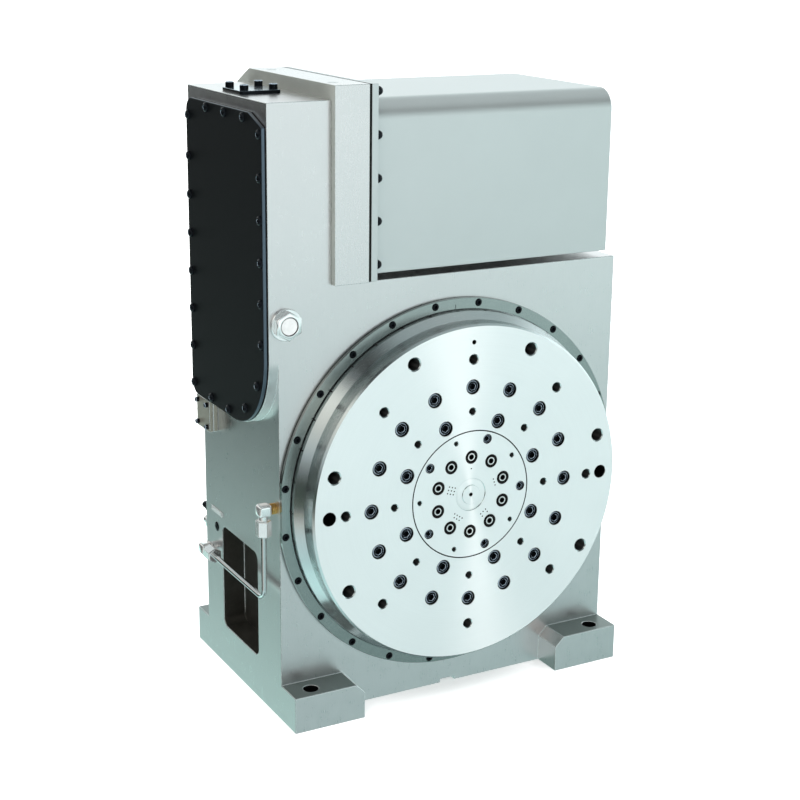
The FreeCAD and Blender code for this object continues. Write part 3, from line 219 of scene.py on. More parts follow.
def put(bm, at, facing="front"):
    """Turns a shape that was drawn upright so that its top looks the given way, and moves it there."""
    bmesh.ops.transform(bm, matrix=Matrix.Translation(at) @ FACING[facing], verts=bm.verts)
    return bm


def added(bm, *others):
    """Several shapes as one."""
    for other in others:
        carrier = mesh_of("carrier", other)
        bm.from_mesh(carrier)
        bpy.data.meshes.remove(carrier)
    return bm


HEAD_TURN = 0.7


def spread(head, spots, facing):
    """Copies of one small shape at many spots, each turned a little further."""
    pattern = mesh_of("pattern", head)
    bm = bmesh.new()
    for number, spot in enumerate(spots):
        count = len(bm.verts)
        bm.from_mesh(pattern)
        bm.verts.ensure_lookup_table()
        turn = Matrix.Rotation(number * HEAD_TURN, 4, "Z")
        place = Matrix.Translation(spot) @ FACING[facing] @ turn
        bmesh.ops.transform(bm, matrix=place, verts=bm.verts[count:])
    bpy.data.meshes.remove(pattern)
    return bm


print("ways to face:", ", ".join(FACING))

# %% Finished pieces
SHARP, FLAT = 35, 0.3
SOFT_SEGMENTS = 2


def linked(name, data):
    """A new object in the scene."""
    item = bpy.data.objects.new(name, data)
    bpy.context.scene.collection.objects.link(item)
    return item


def make(name, bm, finishes, body="frame", node=None, edge=0.0, smooth=SHARP):
    """Makes a piece of a shape in millimetres. It rides on a body and may stand for a solid."""
    join_points(bm)
    bmesh.ops.recalc_face_normals(bm, faces=bm.faces)
    bmesh.ops.scale(bm, vec=(MM, MM, MM), verts=bm.verts)
    open_edges = sum(len(item.link_faces) != 2 for item in bm.edges)
    mesh = mesh_of(name, bm)
    for finish in finishes:
        mesh.materials.append(finish)
    mesh.shade_smooth()
    mesh.set_sharp_from_angle(angle=radians(smooth))
    piece = linked(name, mesh)
    if edge:
        soft = piece.modifiers.new("soft_edge", "BEVEL")
        soft.width = edge * MM
        soft.segments = SOFT_SEGMENTS
        soft.limit_method = "ANGLE"
        soft.angle_limit = radians(smooth)
    level = piece.modifiers.new("flat_faces", "WEIGHTED_NORMAL")
    level.keep_sharp = True
    level.weight = 100
    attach(piece, body)
    if node:
        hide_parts(node)
    print(name, "faces", len(mesh.polygons), "open edges", open_edges)


def softened(node, edge):
    """A copy of a solid in millimetres with its flat faces joined up and its sharp edges broken."""
    bm = bmesh.new()
    bm.from_mesh(frame["nodes"][node].data)
    bmesh.ops.scale(bm, vec=(1 / MM, 1 / MM, 1 / MM), verts=bm.verts)
    join_points(bm, 3 * SAME_POINT)
    bmesh.ops.dissolve_limit(bm, angle_limit=radians(FLAT), verts=bm.verts, edges=bm.edges)
    limit = radians(SHARP)
    sharp = [item for item in bm.edges if len(item.link_faces) == 2 and item.calc_face_angle() > limit]
    for face in round_edges(bm, sharp, edge, SOFT_SEGMENTS):
        face.material_index = 1
    return bm


print("edges of more than", SHARP, "degrees are broken")

# %% [markdown]
# ## Writing shaders as sums
# A finish is a small graph of nodes. Wiring it by hand takes many lines, so one class wraps an output socket
# and lets sockets be added and multiplied like numbers. A second class makes any other node in one call:
# first its settings, then the values or links of its inputs. The sky uses that class too.

# %% Sockets
class Output:
    """An output of a shader node that can be used in sums."""

    def __init__(self, graph, socket):
        self.graph = graph
        self.socket = socket

    def maths(self, operation, first, second=0):
        return self.graph.node("Math", {"operation": operation}, {0: first, 1: second})

    def __add__(self, other):
        return self.maths("ADD", self, other)

    def __sub__(self, other):
        return self.maths("SUBTRACT", self, other)

    def __rsub__(self, other):
        return self.maths("SUBTRACT", other, self)

    def __mul__(self, other):
        return self.maths("MULTIPLY", self, other)

    def __pow__(self, other):
        return self.maths("POWER", self, other)

    __radd__ = __add__
    __rmul__ = __mul__


print("signs for sockets:", "+ - * **")

# %% Graphs
class Graph:
    """The nodes of one shader tree."""

    def __init__(self, tree):
        self.tree = tree

    def feed(self, made, inputs):
        """Gives the inputs of a node their values or links."""
        for key, value in inputs.items():
            if isinstance(value, Output):
                self.tree.links.new(value.socket, made.inputs[key])
            else:
                made.inputs[key].default_value = value

    def node(self, kind, settings=None, inputs=None, output=0):
        made = self.tree.nodes.new("ShaderNode" + kind)
        for key, value in (settings or {}).items():
            if key == "stops":
                ramp = made.color_ramp.elements
                for number, (place, colour) in enumerate(value):
                    stop = ramp[number] if number < len(ramp) else ramp.new(place)
                    stop.position = place
                    stop.color = colour
            else:
                setattr(made, key, value)
        self.feed(made, inputs or {})
        return Output(self, made.outputs[output])

    def place(self, centre=(0, 0, 0), scale=(1, 1, 1)):
        """Object coordinates with a new origin and scale."""
        coordinates = self.node("TexCoord", output="Object")
        moved = [-middle * factor for middle, factor in zip(centre, scale)]
        values = {"Vector": coordinates, "Location": moved, "Scale": scale}
        return self.node("Mapping", {}, values)

    def split(self, vector):
        first = self.node("SeparateXYZ", {}, {0: vector})
        return [Output(self, socket) for socket in first.socket.node.outputs]

    def noise(self, scale, detail=3.0, roughness=0.55, vector=None):
        vector = vector or self.place()
        values = {"Vector": vector, "Scale": scale, "Detail": detail, "Roughness": roughness}
        return self.node("TexNoise", {}, values)

    def between(self, value, low, high):
        """The value stretched so that low becomes 0 and high becomes 1."""
        values = {"Value": value, "From Min": low, "From Max": high}
        return self.node("MapRange", {"clamp": True}, values)

    def blend(self, factor, first, second, way="MIX"):
        """A mixture of two colours."""
        settings = {"data_type": "RGBA", "blend_type": way}
        return self.node("Mix", settings, {0: factor, 6: first, 7: second}, output=2)


print("a graph can", [name for name in vars(Graph) if name[0] != "_"])

# %% Materials
class Finish(Graph):
    """A material with one principled shader."""

    def __init__(self, name, **constants):
        self.material = bpy.data.materials.new(name)
        self.material.use_nodes = True
        super().__init__(self.material.node_tree)
        self.coat(constants)

    def bump(self, height, strength, distance):
        values = {"Height": height, "Strength": strength, "Distance": distance}
        return self.node("Bump", {}, values)

    def coat(self, inputs):
        spaced = {key.replace("_", " "): value for key, value in inputs.items()}
        self.feed(self.tree.nodes["Principled BSDF"], spaced)

    def wire(self, **links):
        self.coat(links)
        print("finish", self.material.name, "nodes", len(self.tree.nodes))
        return self.material


def grey(value, tint=(1.0, 1.0, 1.0)):
    return (*[value * part for part in tint], 1.0)


print("a cool grey:", grey(0.5, (0.9, 1, 1)))

# %% [markdown]
# ## Metal finishes
# Most of the machine is bare steel. Its look comes from three scales of variation: slow clouds where hands
# and coolant have been, a middle mottling, and a fine grain that a grinding wheel leaves, stretched one way.
# One function makes them all, with colours and strengths as values, so the metals stay related.

# %% Satin steel
def satin(name, light, dark, metal, rough, grain, grain_size, tint=(1, 1, 1), stretch=(1, 1, 1)):
    """Bare steel with slow clouds and a fine grain. The grain may be stretched into a brushed direction."""
    finish = Finish(name, Metallic=metal, IOR=1.6)
    clouds = finish.noise(4.0, 4.0)
    mottle = finish.noise(55.0, 5.0, 0.65)
    fine = finish.noise(grain_size, 3.0, 0.7, finish.place(scale=stretch))
    mixed = finish.between(clouds * 0.5 + mottle * 0.25 + fine * 0.25, 0.38, 0.62)
    colour = finish.blend(mixed, grey(dark, tint), grey(light, tint))
    roughness = rough + (mottle - 0.5) * 0.10 + (fine - 0.5) * 0.12
    return finish.wire(Base_Color=colour, Roughness=roughness, Normal=finish.bump(fine, grain, 0.0004))


COOL = (0.97, 1.0, 1.0)
PLAIN = (1.02, 1.0, 1.0)
PALE = (0.91, 1.0, 1.005)
OLIVE = (1.0, 0.97, 0.86)
BRUSHED_UP = (1, 1, 0.05)
BRUSHED_BACK = (1, 0.05, 1)
body_steel = satin("body_satin", 0.80, 0.75, 0.98, 0.30, 0.03, 900, PLAIN, BRUSHED_UP)
edge_steel = satin("broken_edge", 0.86, 0.80, 0.92, 0.26, 0.04, 900, COOL)
ring_steel = satin("ring_ground", 0.46, 0.40, 0.98, 0.22, 0.04, 800, (0.90, 1.0, 0.97))
# The pocket is darker for its raw cast skin and as painted shade; the tops of the feet are painted shade.
pocket_cast_and_shade = satin("pocket_raw_and_shade", 0.15, 0.10, 0.88, 0.36, 0.15, 260, OLIVE)
foot_top_shade = satin("foot_top_shade", 0.30, 0.25, 0.85, 0.36, 0.08, 500, (0.86, 1.0, 0.96))
plate_milled = satin("plate_milled", 0.79, 0.74, 0.98, 0.28, 0.03, 900, PLAIN, BRUSHED_UP)
# A duller, more diffuse copy of the plate steel for its left side, painted to read lighter in the side
# light.
plate_side_lit = satin("plate_side_lit", 0.52, 0.44, 0.40, 0.42, 0.05, 700, (0.95, 1.0, 0.93))
plate_blued = satin("plate_blued", 0.60, 0.50, 0.95, 0.16, 0.05, 500, (0.82, 0.95, 1.05))
ground_steel = satin("ground_steel", 0.70, 0.64, 0.90, 0.28, 0.04, 800, COOL)
bearing_steel = satin("bearing_steel", 0.62, 0.56, 0.95, 0.22, 0.05, 1200, COOL)
gear_steel = satin("gear_steel_oiled", 0.40, 0.32, 0.9, 0.30, 0.10, 600)
# Near-black finish for the walls of holes and of gaps between parts: painted shade.
painted_hole_shade = satin("painted_hole_shade", 0.045, 0.025, 0.9, 0.34, 0.10, 700, COOL)
bronze = satin("wheel_bronze", 0.60, 0.48, 0.95, 0.30, 0.10, 600, (1.0, 0.66, 0.30))
brass = satin("nipple_brass", 0.78, 0.62, 0.95, 0.28, 0.10, 900, (1.0, 0.62, 0.20))
bright_plate = satin("bright_plate", 0.96, 0.91, 0.85, 0.11, 0.03, 500, COOL)
tube_steel = satin("tube_stainless", 0.82, 0.74, 1.0, 0.17, 0.05, 900, COOL)
tag_bare = satin("tag_bare", 0.86, 0.78, 0.7, 0.34, 0.08, 900, COOL, BRUSHED_BACK)
box_olive = satin("terminal_satin", 0.42, 0.35, 0.7, 0.34, 0.05, 500, (1.0, 0.98, 0.82), BRUSHED_UP)

# %% [markdown]
# ## Turned faces
# A lathe leaves fine rings round the axis. In a bump map each ring tilts the surface a little inwards and
# outwards, which draws every highlight out into a radial streak, as on the real table. The rings are taken
# from the distance to the axis, and a weak noise in angle and radius keeps the face from looking computed.
# A pale fan through the centre is painted sheen: it stands for the highlight that such rings show in a large
# window.

# %% Turned steel
PAINTED_SHEEN_ANGLE = radians(97)
PAINTED_SHEEN = 0.45
AXIS_Z = 317
AXIS = (0, 0, AXIS_Z * MM)


def turned_steel(name, light, dark, metal, rough, pitch, depth):
    """Steel turned about the table's axis, which runs along Y."""
    finish = Finish(name, Metallic=metal, IOR=1.6)
    across, along, up = finish.split(finish.place(AXIS))
    radius = (across * across + up * up) ** 0.5
    angle = up.maths("ARCTAN2", up, across)
    polar = finish.node("CombineXYZ", {}, {0: radius * 900, 1: angle * 1.2, 2: along * 900})
    rings = finish.noise(1.0, 3.0, 0.6, polar)
    clouds = finish.noise(9.0)
    phase = (radius + along) * (2 * pi / pitch)
    groove = phase.maths("SINE", phase)
    mixed = finish.between(rings * 0.5 + clouds * 0.5, 0.35, 0.65)
    # A pale fan of painted sheen: the colour turns white round one angle of the face.
    cosine = angle.maths("COSINE", angle - PAINTED_SHEEN_ANGLE)
    painted_sheen = (cosine * cosine) ** 18 * PAINTED_SHEEN
    steel = finish.blend(mixed, grey(dark, PALE), grey(light, PALE))
    colour = finish.blend(painted_sheen, steel, grey(1.0))
    roughness = rough + (rings - 0.5) * 0.10 + (clouds - 0.5) * 0.05
    bump = finish.bump(groove * 0.5 + rings * 0.5, depth, 0.0003)
    return finish.wire(Base_Color=colour, Roughness=roughness, Normal=bump)


table_steel = turned_steel("table_turned", 0.75, 0.72, 0.50, 0.34, 0.0008, 0.10)
insert_steel = turned_steel("insert_turned", 0.76, 0.73, 0.50, 0.34, 0.0007, 0.10)
rim_steel = turned_steel("rim_turned", 0.86, 0.78, 0.98, 0.15, 0.0012, 0.16)

# %% [markdown]
# ## Paint, oxide and rubber
# The hood has a satin paint with a fine blasted texture, the gear cover a matte black one. Painted sheet
# shows a light orange peel, so a noise of about a millimetre goes into the bump. Black oxide screws are dark
# steel with a little oil, smoother than the cover they sit on. Their top edges are rubbed bright, and these
# edges and the rims of the sockets are painted lighter still as painted glints.

# %% Coatings
def coating(name, light, dark, rough, peel, peel_size, metal=0.0, tint=(1, 1, 1), shine=0.5):
    """A painted, oxidised or moulded surface with slow colour change and a fine peel."""
    finish = Finish(name, Metallic=metal, Specular_IOR_Level=shine)
    clouds = finish.noise(6.0)
    skin = finish.noise(peel_size, 3.0, 0.6)
    speck = finish.noise(peel_size * 3, 2.0, 0.6)
    mixed = finish.between(clouds * 0.6 + speck * 0.4, 0.35, 0.65)
    colour = finish.blend(mixed, grey(dark, tint), grey(light, tint))
    roughness = rough + (speck - 0.5) * 0.16 + (clouds - 0.5) * 0.08
    return finish.wire(Base_Color=colour, Roughness=roughness, Normal=finish.bump(skin, peel, 0.0005))


BLUE_BLACK = (0.80, 0.98, 1.15)
hood_paint = coating("hood_satin", 0.63, 0.59, 0.34, 0.10, 900, metal=0.80, tint=(0.94, 1.0, 1.0))
cover_black = coating("cover_black", 0.005, 0.004, 0.44, 0.08, 700, tint=BLUE_BLACK, shine=0.07)
# The sides of the black cover: a lighter metallic finish as painted highlight.
cover_rim_highlight = coating("cover_rim_highlight", 0.17, 0.13, 0.30, 0.08, 700, metal=0.9, tint=(0.72, 0.94, 1.18))
OIL_BLUE = (0.72, 0.95, 1.3)
screw_black = coating("screw_black", 0.011, 0.007, 0.22, 0.05, 900, 0.6, OIL_BLUE, shine=0.25)
# Rubbed edges of the screw heads, painted lighter still as glints.
screw_worn_and_glint = coating("screw_worn_and_glint", 0.72, 0.46, 0.26, 0.06, 900, metal=0.5, tint=BLUE_BLACK)
seal_black = coating("seal_black", 0.006, 0.004, 0.46, 0.12, 800, shine=0.12)
motor_black = coating("motor_black", 0.030, 0.020, 0.40, 0.20, 600)
plastic_dark = coating("plastic_dark", 0.060, 0.045, 0.45, 0.15, 800)
mark_black = coating("mark_black", 0.012, 0.008, 0.50, 0.05, 900, shine=0.1)
SCREW = [screw_black, screw_worn_and_glint]

# %% [markdown]
# ## Sight window
# The round window of the sight glass is clear, with white paint behind it. Real transmission would show only
# that paint, so the pane is a pale surface under a hard clear coat, with a faint haze of oil.

# %% Glass
glass = Finish("sight_window", Roughness=0.12, IOR=1.5, Coat_Weight=1.0, Coat_Roughness=0.03)
haze = glass.between(glass.noise(120.0), 0.35, 0.65)
sight_clear = glass.wire(Base_Color=glass.blend(haze, grey(0.56, COOL), grey(0.64, COOL)))

# %% [markdown]
# ## Pieces that stay hidden
# Bearings, gears, worm and motor are inside. Their solids have the right form, so they stay as they are, and
# each one takes the finish of its material slot.

# %% Finishes of the carried solids
SLOT_FINISH = dict(
    cast_body=body_steel, table_steel=table_steel, ground_steel=ground_steel, bearing_steel=bearing_steel,
    gear_steel=gear_steel, cover_black=cover_black, hood_grey=hood_paint, plate_steel=plate_milled,
    seal_black=seal_black, bronze=bronze, brass=brass, bright_plate=bright_plate, motor_black=motor_black,
    plastic_dark=plastic_dark, box_grey=box_olive, tag_bare=tag_bare, clear=sight_clear,
)
for part in frame["record"]["subparts"]:
    carried = frame["nodes"][part["node"]].data
    carried.materials.clear()
    carried.materials.append(SLOT_FINISH[part["material_slot"]])

# %% [markdown]
# ## Body
# The body is a casting with four feet and a gear case, all ground flat. Its edges are broken by a file, and
# that thin bevel catches the light. A live modifier on loose triangles would tear, so a copy of the solid is
# merged, its flat triangles are joined into large faces, and only the sharp edges get the bevel. The pocket
# in the left side was never machined; it is darker for its raw cast skin and as painted shade of the recess.
# The tops of the feet and the walls of their holes are painted darker: painted shade.

# %% Body casting
POCKET = ((-272, -57.5, 65.5), (-238, 73.5, 227.5))
casting = softened("body_casting", 0.9)
BODY = [body_steel, edge_steel, pocket_cast_and_shade, foot_top_shade, painted_hole_shade]
EDGE, RAW_AND_SHADE, SEAT, HOLE = 1, 2, 3, 4
FOOT_TOP = 54
FOOT_HOLE_R = 12
FOOT_HOLES = [Vector((x, y)) for x in (-240, 240) for y in (-162.5, 157.5)]
for face in casting.faces:
    middle = face.calc_center_median()
    heights = [vert.co.z for vert in face.verts]
    corner_line = face.material_index == EDGE and max(heights) - min(heights) > 100
    # The pocket: raw cast, and painted shade of the recess.
    if all(low < value < high for low, value, high in zip(POCKET[0], middle, POCKET[1])):
        face.material_index = EDGE if corner_line else RAW_AND_SHADE
    # The tops of the feet: painted shade.
    elif abs(middle.z - FOOT_TOP) < 0.01:
        face.material_index = SEAT
    # The walls of the foot holes: painted shade.
    elif middle.z < FOOT_TOP - 1 and min((middle.xy - hole).length for hole in FOOT_HOLES) < FOOT_HOLE_R:
        face.material_index = HOLE
make("body", casting, BODY, node="body_casting")

# %% [markdown]
# ## Motor plate, hood and rear pieces
# These are machined blocks too, so they are made in the same way as the body. The left side of the motor
# plate gets a duller, more diffuse copy of the steel, painted so that it reads lighter in the light from the
# side. Two lifting holes in its top are plugged. A plug is a short turned disc whose chamfer leaves a faint
# ring in the surface.

# %% Softened blocks
def block(name, node, edge, finish, edge_finish=edge_steel):
    """A solid whose sharp edges are broken."""
    make(name, softened(node, edge), [finish, edge_finish], node=node)


def coated(bm, choose):
    """Gives each face the finish number that is chosen for it."""
    bm.normal_update()
    for face in bm.faces:
        face.material_index = choose(face)


block("rear_housing_body", "rear_housing", 0.8, body_steel)
block("rear_cap_disc", "rear_cap", 1.0, ground_steel)
block("distributor_body", "rotary_distributor", 1.0, ground_steel)
block("worm_cap", "worm_end_cap", 0.6, ground_steel)
upright = softened("motor_plate", 0.8)
# The left face takes the lit copy of the steel: painted light.
coated(upright, lambda face: 2 if face.normal.x < -0.9 else face.material_index)
PLATE = [plate_milled, edge_steel, plate_side_lit]
make("motor_plate_body", upright, PLATE, node="motor_plate")
block("hood", "motor_cover", 0.7, hood_paint, hood_paint)

plug = turned([(0, 0.25), (7.4, 0.25), (8.0, -0.3), (8.0, -2), (0, -2)], 40)
plugs = spread(plug, [(-178, -108, 899), (-174, 98, 899)], "up")
make("plate_plugs", plugs, [ground_steel])

# %% [markdown]
# ## Screw heads
# Four kinds of screw hold the machine together: cap screws, flat button heads, domes and plugs. A head is a
# ring that is pulled outwards and down for its side, and a hexagon that is pulled down for its socket. The
# flat between the two rims is filled, so that the socket stays open.

# %% Heads
def corner_r(flats):
    """The radius to the corners of a hexagon, from the distance between its flats."""
    return flats / sqrt(3)


def screw_head(outline, socket, depth):
    """A head that stands on its base at height 0. The outline runs from the edge of its flat top down."""
    bm = bmesh.new()
    (top_r, top), *side = outline
    rim = ring_of(bm, top_r, 24, height=top)
    hexagon = ring_of(bm, corner_r(socket), 6, height=top)
    fill_between(bm, rim + hexagon)
    sink(bm, rim, side)
    narrow = corner_r(socket) * 0.92
    # The rim of the socket takes the second finish: a painted glint.
    sink(bm, hexagon, [(narrow, top - socket * 0.05, 1), (narrow, top - depth)])
    return bm


def cap_head(thread):
    """The head of a socket cap screw, with a rubbed top edge that is painted lighter still as a glint."""
    radius = thread * 0.75
    outline = [(radius * 0.86, thread), (radius, thread * 0.91, 1), (radius, 0)]
    return screw_head(outline, thread * 0.83, thread * 0.5)


def round_head(radius, tall, socket):
    """A button head, or a dome where it is tall."""
    angles = [radians(step) for step in range(36, 91, 9)]
    arc = [(radius * sin(a), tall * cos(a)) for a in angles]
    return screw_head(arc, socket, tall * 0.55)


def screws(name, head, spots, facing, body="frame", smooth=SHARP):
    """A set of screws that all face one way."""
    make(name, spread(head, spots, facing), SCREW, body, smooth=smooth)


print("cap head of 12 mm:", len(cap_head(12).verts), "points")

# %% [markdown]
# ## Gear cover
# The black cover is a 6 mm plate with one large round corner that follows the case, two small ones, and a
# slanted upper front corner. It starts as a flat outline with square corners, and a bevel then rounds them,
# which gives true arcs. Button heads stand on it in four rows.

# %% Side cover and its screws
COVER_LEFT, COVER_RIGHT = -295, -289
front, rear, bottom, top = -135.5, 128, 426.5, 863
rear_corners = [(rear, bottom), (rear, top)]
slant = [(-93.5, top), (front, 847)]
outline = [(front, bottom)] + rear_corners + slant
cover = prism(outline, "X", COVER_LEFT, COVER_RIGHT)
round_corners(cover, "X", outline[:1], 104.5, 24)
round_corners(cover, "X", rear_corners, 20, 8)
# The sides of the plate take a lighter metallic finish: a painted highlight along its edges.
coated(cover, lambda face: 0 if abs(face.normal.x) > 0.9 else 1)
COVER = [cover_black, cover_rim_highlight]
make("gear_cover", cover, COVER, node="side_cover", edge=1.2, smooth=30)

front_row = [(-129, z) for z in (838, 781, 725, 668, 612, 556)]
low_row = [(-113, 495), (-71, 453), (-11, 435), (52, 436)]
rear_row = [(119, z) for z in (838, 780, 724, 668, 612, 556, 500, 443)]
top_row = [(y, 855) for y in (51, -13, -77)]
cover_spots = [(COVER_LEFT, y, z) for y, z in front_row + low_row + rear_row + top_row]
screws("gear_cover_screws", round_head(7, 4.6, 5), cover_spots, "left", smooth=25)

# %% [markdown]
# ## Plate on top of the gear case
# A small blued plate closes the oil filler: a prism with four rounded corners, held by four cap screws.
# Every face that isn't level gets the black of the screws, so its sides are darker than its top.

# %% Filler plate
low, high = [[value / MM for value in corner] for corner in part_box("top_cover_plate")]
plate = prism(rectangle(low[0], low[1], high[0], high[1]), "Z", low[2], high[2])
round_corners(plate, "Z", [(x, y) for x in (low[0], high[0]) for y in (low[1], high[1])], 4, 4)
coated(plate, lambda face: 0 if abs(face.normal.z) > 0.9 else 1)
BLUED = [plate_blued, screw_black]
make("filler_plate", plate, BLUED, node="top_cover_plate", edge=0.8)
plate_middle = (low[0] + high[0]) / 2
filler_spots = [(plate_middle + i * 21.5, j * 25, high[2]) for i in (-1, 1) for j in (-1, 1)]
screws("filler_plate_screws", cap_head(8), filler_spots, "up")

# %% [markdown]
# ## Hood screws
# The flange of the hood is held by dome screws along its front and rear edges. Seen from the front they
# stand out sideways past the flange, so they are made taller than the button heads.

# %% Dome screws
HOOD_FLANGE = -129
heights = (889, 830.5, 772, 713.5, 654)
hood_spots = [(HOOD_FLANGE, -140, z) for z in heights] + [(HOOD_FLANGE, 171, z) for z in heights[1:]]
screws("hood_screws", round_head(7, 9.5, 5), hood_spots, "right", smooth=25)

# %% [markdown]
# ## Table
# The table is a steel disc with a stepped rim. Its face has six kinds of holes. The face is drawn as circles
# in one plane: the outer edge, the edge of the pocket and the rim of every hole, and the space between them
# is filled. Each rim is then pulled inwards. Boolean cuts would also work, but leave no clean chamfers.

# %% Holes of the table
FACE_Y = -193
AT_FACE = (0, FACE_Y, AXIS_Z)
LIT_TURNS = 1


def plain_hole(radius, deep, chamfer=0.6):
    """A counterbore or dowel hole: a bright chamfer and a wall painted dark as shade."""
    return [(radius + chamfer, 0), (radius, -chamfer), (radius, -deep, 1)]


def tapped_hole(thread, deep, pitch):
    """A tapped hole: a countersink and the ridges of its thread. The first turn is painted bright as a
    highlight, the rest painted dark as shade.
    """
    radius = thread / 2
    walls = [(radius + 0.3, 0), (radius, -0.3)]
    for i in range(int(deep / pitch)):
        coat = 2 if i < LIT_TURNS else 1
        walls.append((radius - 0.61 * pitch, -pitch * (i + 0.55), coat))
        walls.append((radius, -pitch * (i + 1.05), coat))
    return walls


def at_axis(places, y):
    """Places round the table's axis, as spots at the depth y."""
    return [(x, y, AXIS_Z + z) for x, z in places]


SEAT_DEEP = 14
SCREW_PLACES = evenly(160, 16, 0) + evenly(112.5, 8, 22.5)
TABLE_HOLES = [
    (SCREW_PLACES, plain_hole(11, SEAT_DEEP)),
    (evenly(124, 8, 0), tapped_hole(12, 24, 1.75)),
    (evenly(200, 8, 0), tapped_hole(16, 30, 2)),
    (on_circle(225, (15, 65, 115, 165, 210, 330)), tapped_hole(21, 32, 2.5)),
    (on_circle(225, (0, 180)), plain_hole(10, 30)),
    (on_circle(225, (90,)), plain_hole(3.3, 24, 0.3)),
]
print("holes in the table:", sum(len(spots) for spots, walls in TABLE_HOLES))

# %% Table disc and its screws
TABLE = [table_steel, painted_hole_shade, rim_steel]
TABLE_R, RIM_R, BORE_R = 250, 260, 62
table = bmesh.new()
outer = ring_of(table, 247.2, 180)
inner = ring_of(table, 96, 180)
drilled(table, outer + inner, TABLE_HOLES)
rim_steps = [(TABLE_R, -2.8), (TABLE_R, -29), (RIM_R, -41), (RIM_R, -52)]
back_steps = [(192, -52), (192, -64), (BORE_R, -64)]
sink(table, outer, [(*step, 2) for step in rim_steps] + back_steps, close=False)
# The wall round the insert is painted dark: painted shade in the gap.
sink(table, inner, [(95.2, -0.8, 1), (95.2, -40, 1), (BORE_R, -40, 1), (BORE_R, -64, 1)], close=False)
make("table_disc", put(table, AT_FACE), TABLE, "table", "faceplate")
screws("table_screws", cap_head(12), at_axis(SCREW_PLACES, FACE_Y + SEAT_DEEP), "front", "table")

# %% [markdown]
# ## Graduation of the rim
# Every ten degrees a line is cut into the largest diameter of the rim. The cuts are two millimetres wide, so
# thin dark bars that lie in the surface read the same and need no cutting.

# %% Graduation lines
ticks = bmesh.new()
for angle in range(0, 360, 10):
    made = bmesh.ops.create_cube(ticks, size=1)["verts"]
    turn = Matrix.Rotation(radians(angle), 4, "Z")
    bar = turn @ Matrix.Translation((RIM_R, 0, -46)) @ Matrix.Diagonal((0.4, 2.0, 6, 1))
    bmesh.ops.transform(ticks, matrix=bar, verts=made)
make("rim_graduation", put(ticks, AT_FACE), [mark_black], "table")

# %% [markdown]
# ## Centre insert
# The insert feeds oil to a fixture: ten ports with seal rings, five screws and five tapped holes. A port is
# one chain of walls: down to the floor of the seat, in to the land, up again, and down the oil hole. Small
# drill points beside the ports count them.

# %% Insert disc
PORTS = evenly(56.25, 10, 18)
INSERT_SCREWS = evenly(83.7, 5, 0)
# The seat walls, seat floors and oil holes of the ports are painted dark: painted shade.
port_walls = [(10.3, 0), (10, -0.3), (10, -3, 1), (5.6, -3, 1), (5.6, -0.4), (5.4, -0.2)]
port_walls += [(4.3, -0.2), (4.1, -0.4), (4.1, -16, 1)]
INSERT_HOLES = [
    (PORTS, port_walls),
    (INSERT_SCREWS, plain_hole(7.2, 10, 0.4)),
    (evenly(83.7, 5, 36), tapped_hole(8, 18, 1.25)),
]
insert = bmesh.new()
outer = ring_of(insert, 94.2, 150)
inner = ring_of(insert, 24.6, 100)
drilled(insert, outer + inner, INSERT_HOLES)
groove = [(23.8, -0.9, 2), (23.2, -0.9), (21.2, 0)]
# The centre hole of the boss is painted dark: painted shade.
boss = [(14.6, 0), (13.9, 0.9, 2), (10.5, 0.9), (3.4, 0.8), (2.8, 0.2), (2.8, -14, 1)]
sink(insert, inner, groove + boss)
# The outer wall of the insert, at the gap to the table, is painted dark: painted shade.
sink(insert, outer, [(95, -0.8, 1), (95, -40, 1)])
INSERT = [insert_steel, painted_hole_shade, rim_steel]
make("insert_disc", put(insert, AT_FACE), INSERT, "table", "centre_insert")

# %% [markdown]
# ## Seals, screws and drill points of the insert
# A seal is a circle spun into a ring; it stands a little above the face, as a seal that has to be squeezed
# does. The drill points are tiny flat discs, because nothing more can be seen of them.

# %% Seals, screws and points
SEAL_R, CORD_R = 7.7, 2.1
section = [(SEAL_R + CORD_R * u, CORD_R * v) for u, v in evenly(1, 12, 0)]
seals = spread(turned(section, 28, True), at_axis(PORTS, FACE_Y + 1.3), "front")
make("port_seals", seals, [seal_black], "table", smooth=60)
screws("insert_screws", cap_head(8), at_axis(INSERT_SCREWS, FACE_Y + 9.5), "front", "table")

DOT_ROWS = {
    90: [(39, 1, 5)], 18: [(41, 3, 5)], -54: [(36.5, 3, 5), (41.5, 2, 10)],
    -124: [(35.5, 4, 5), (40.5, 3, 5)], 162: [(29, 3, 5), (34, 3, 5), (39, 3, 5)],
}
dots = bmesh.new()
for angle, rows in DOT_ROWS.items():
    turn = Matrix.Rotation(radians(angle), 4, "Z")
    for radius, count, apart in rows:
        for i in range(count):
            spot = turn @ Matrix.Translation((radius, (i - (count - 1) / 2) * apart, 0))
            bmesh.ops.create_cone(
                dots, cap_ends=True, segments=8, radius1=1.1, radius2=1.1, depth=0.06, matrix=spot,
            )
make("port_dots", put(dots, AT_FACE), [mark_black], "table")

# %% [markdown]
# ## Front ring
# A flat ring round the table keeps coolant out. It is drilled like the table, and cut flat where it would
# stand out past the sides of the body. Cutting with a plane keeps one part, and the open ends are filled.

# %% Front ring and its screws
RING_Y = -144
SIDE_X = 274
RING_SPOTS = evenly(270.6, 24, 7.5)
ring = bmesh.new()
outer = ring_of(ring, 277.0, 192)
inner = ring_of(ring, 262.0, 192)
drilled(ring, outer + inner, [(RING_SPOTS, plain_hole(5.4, 4, 0.2))])
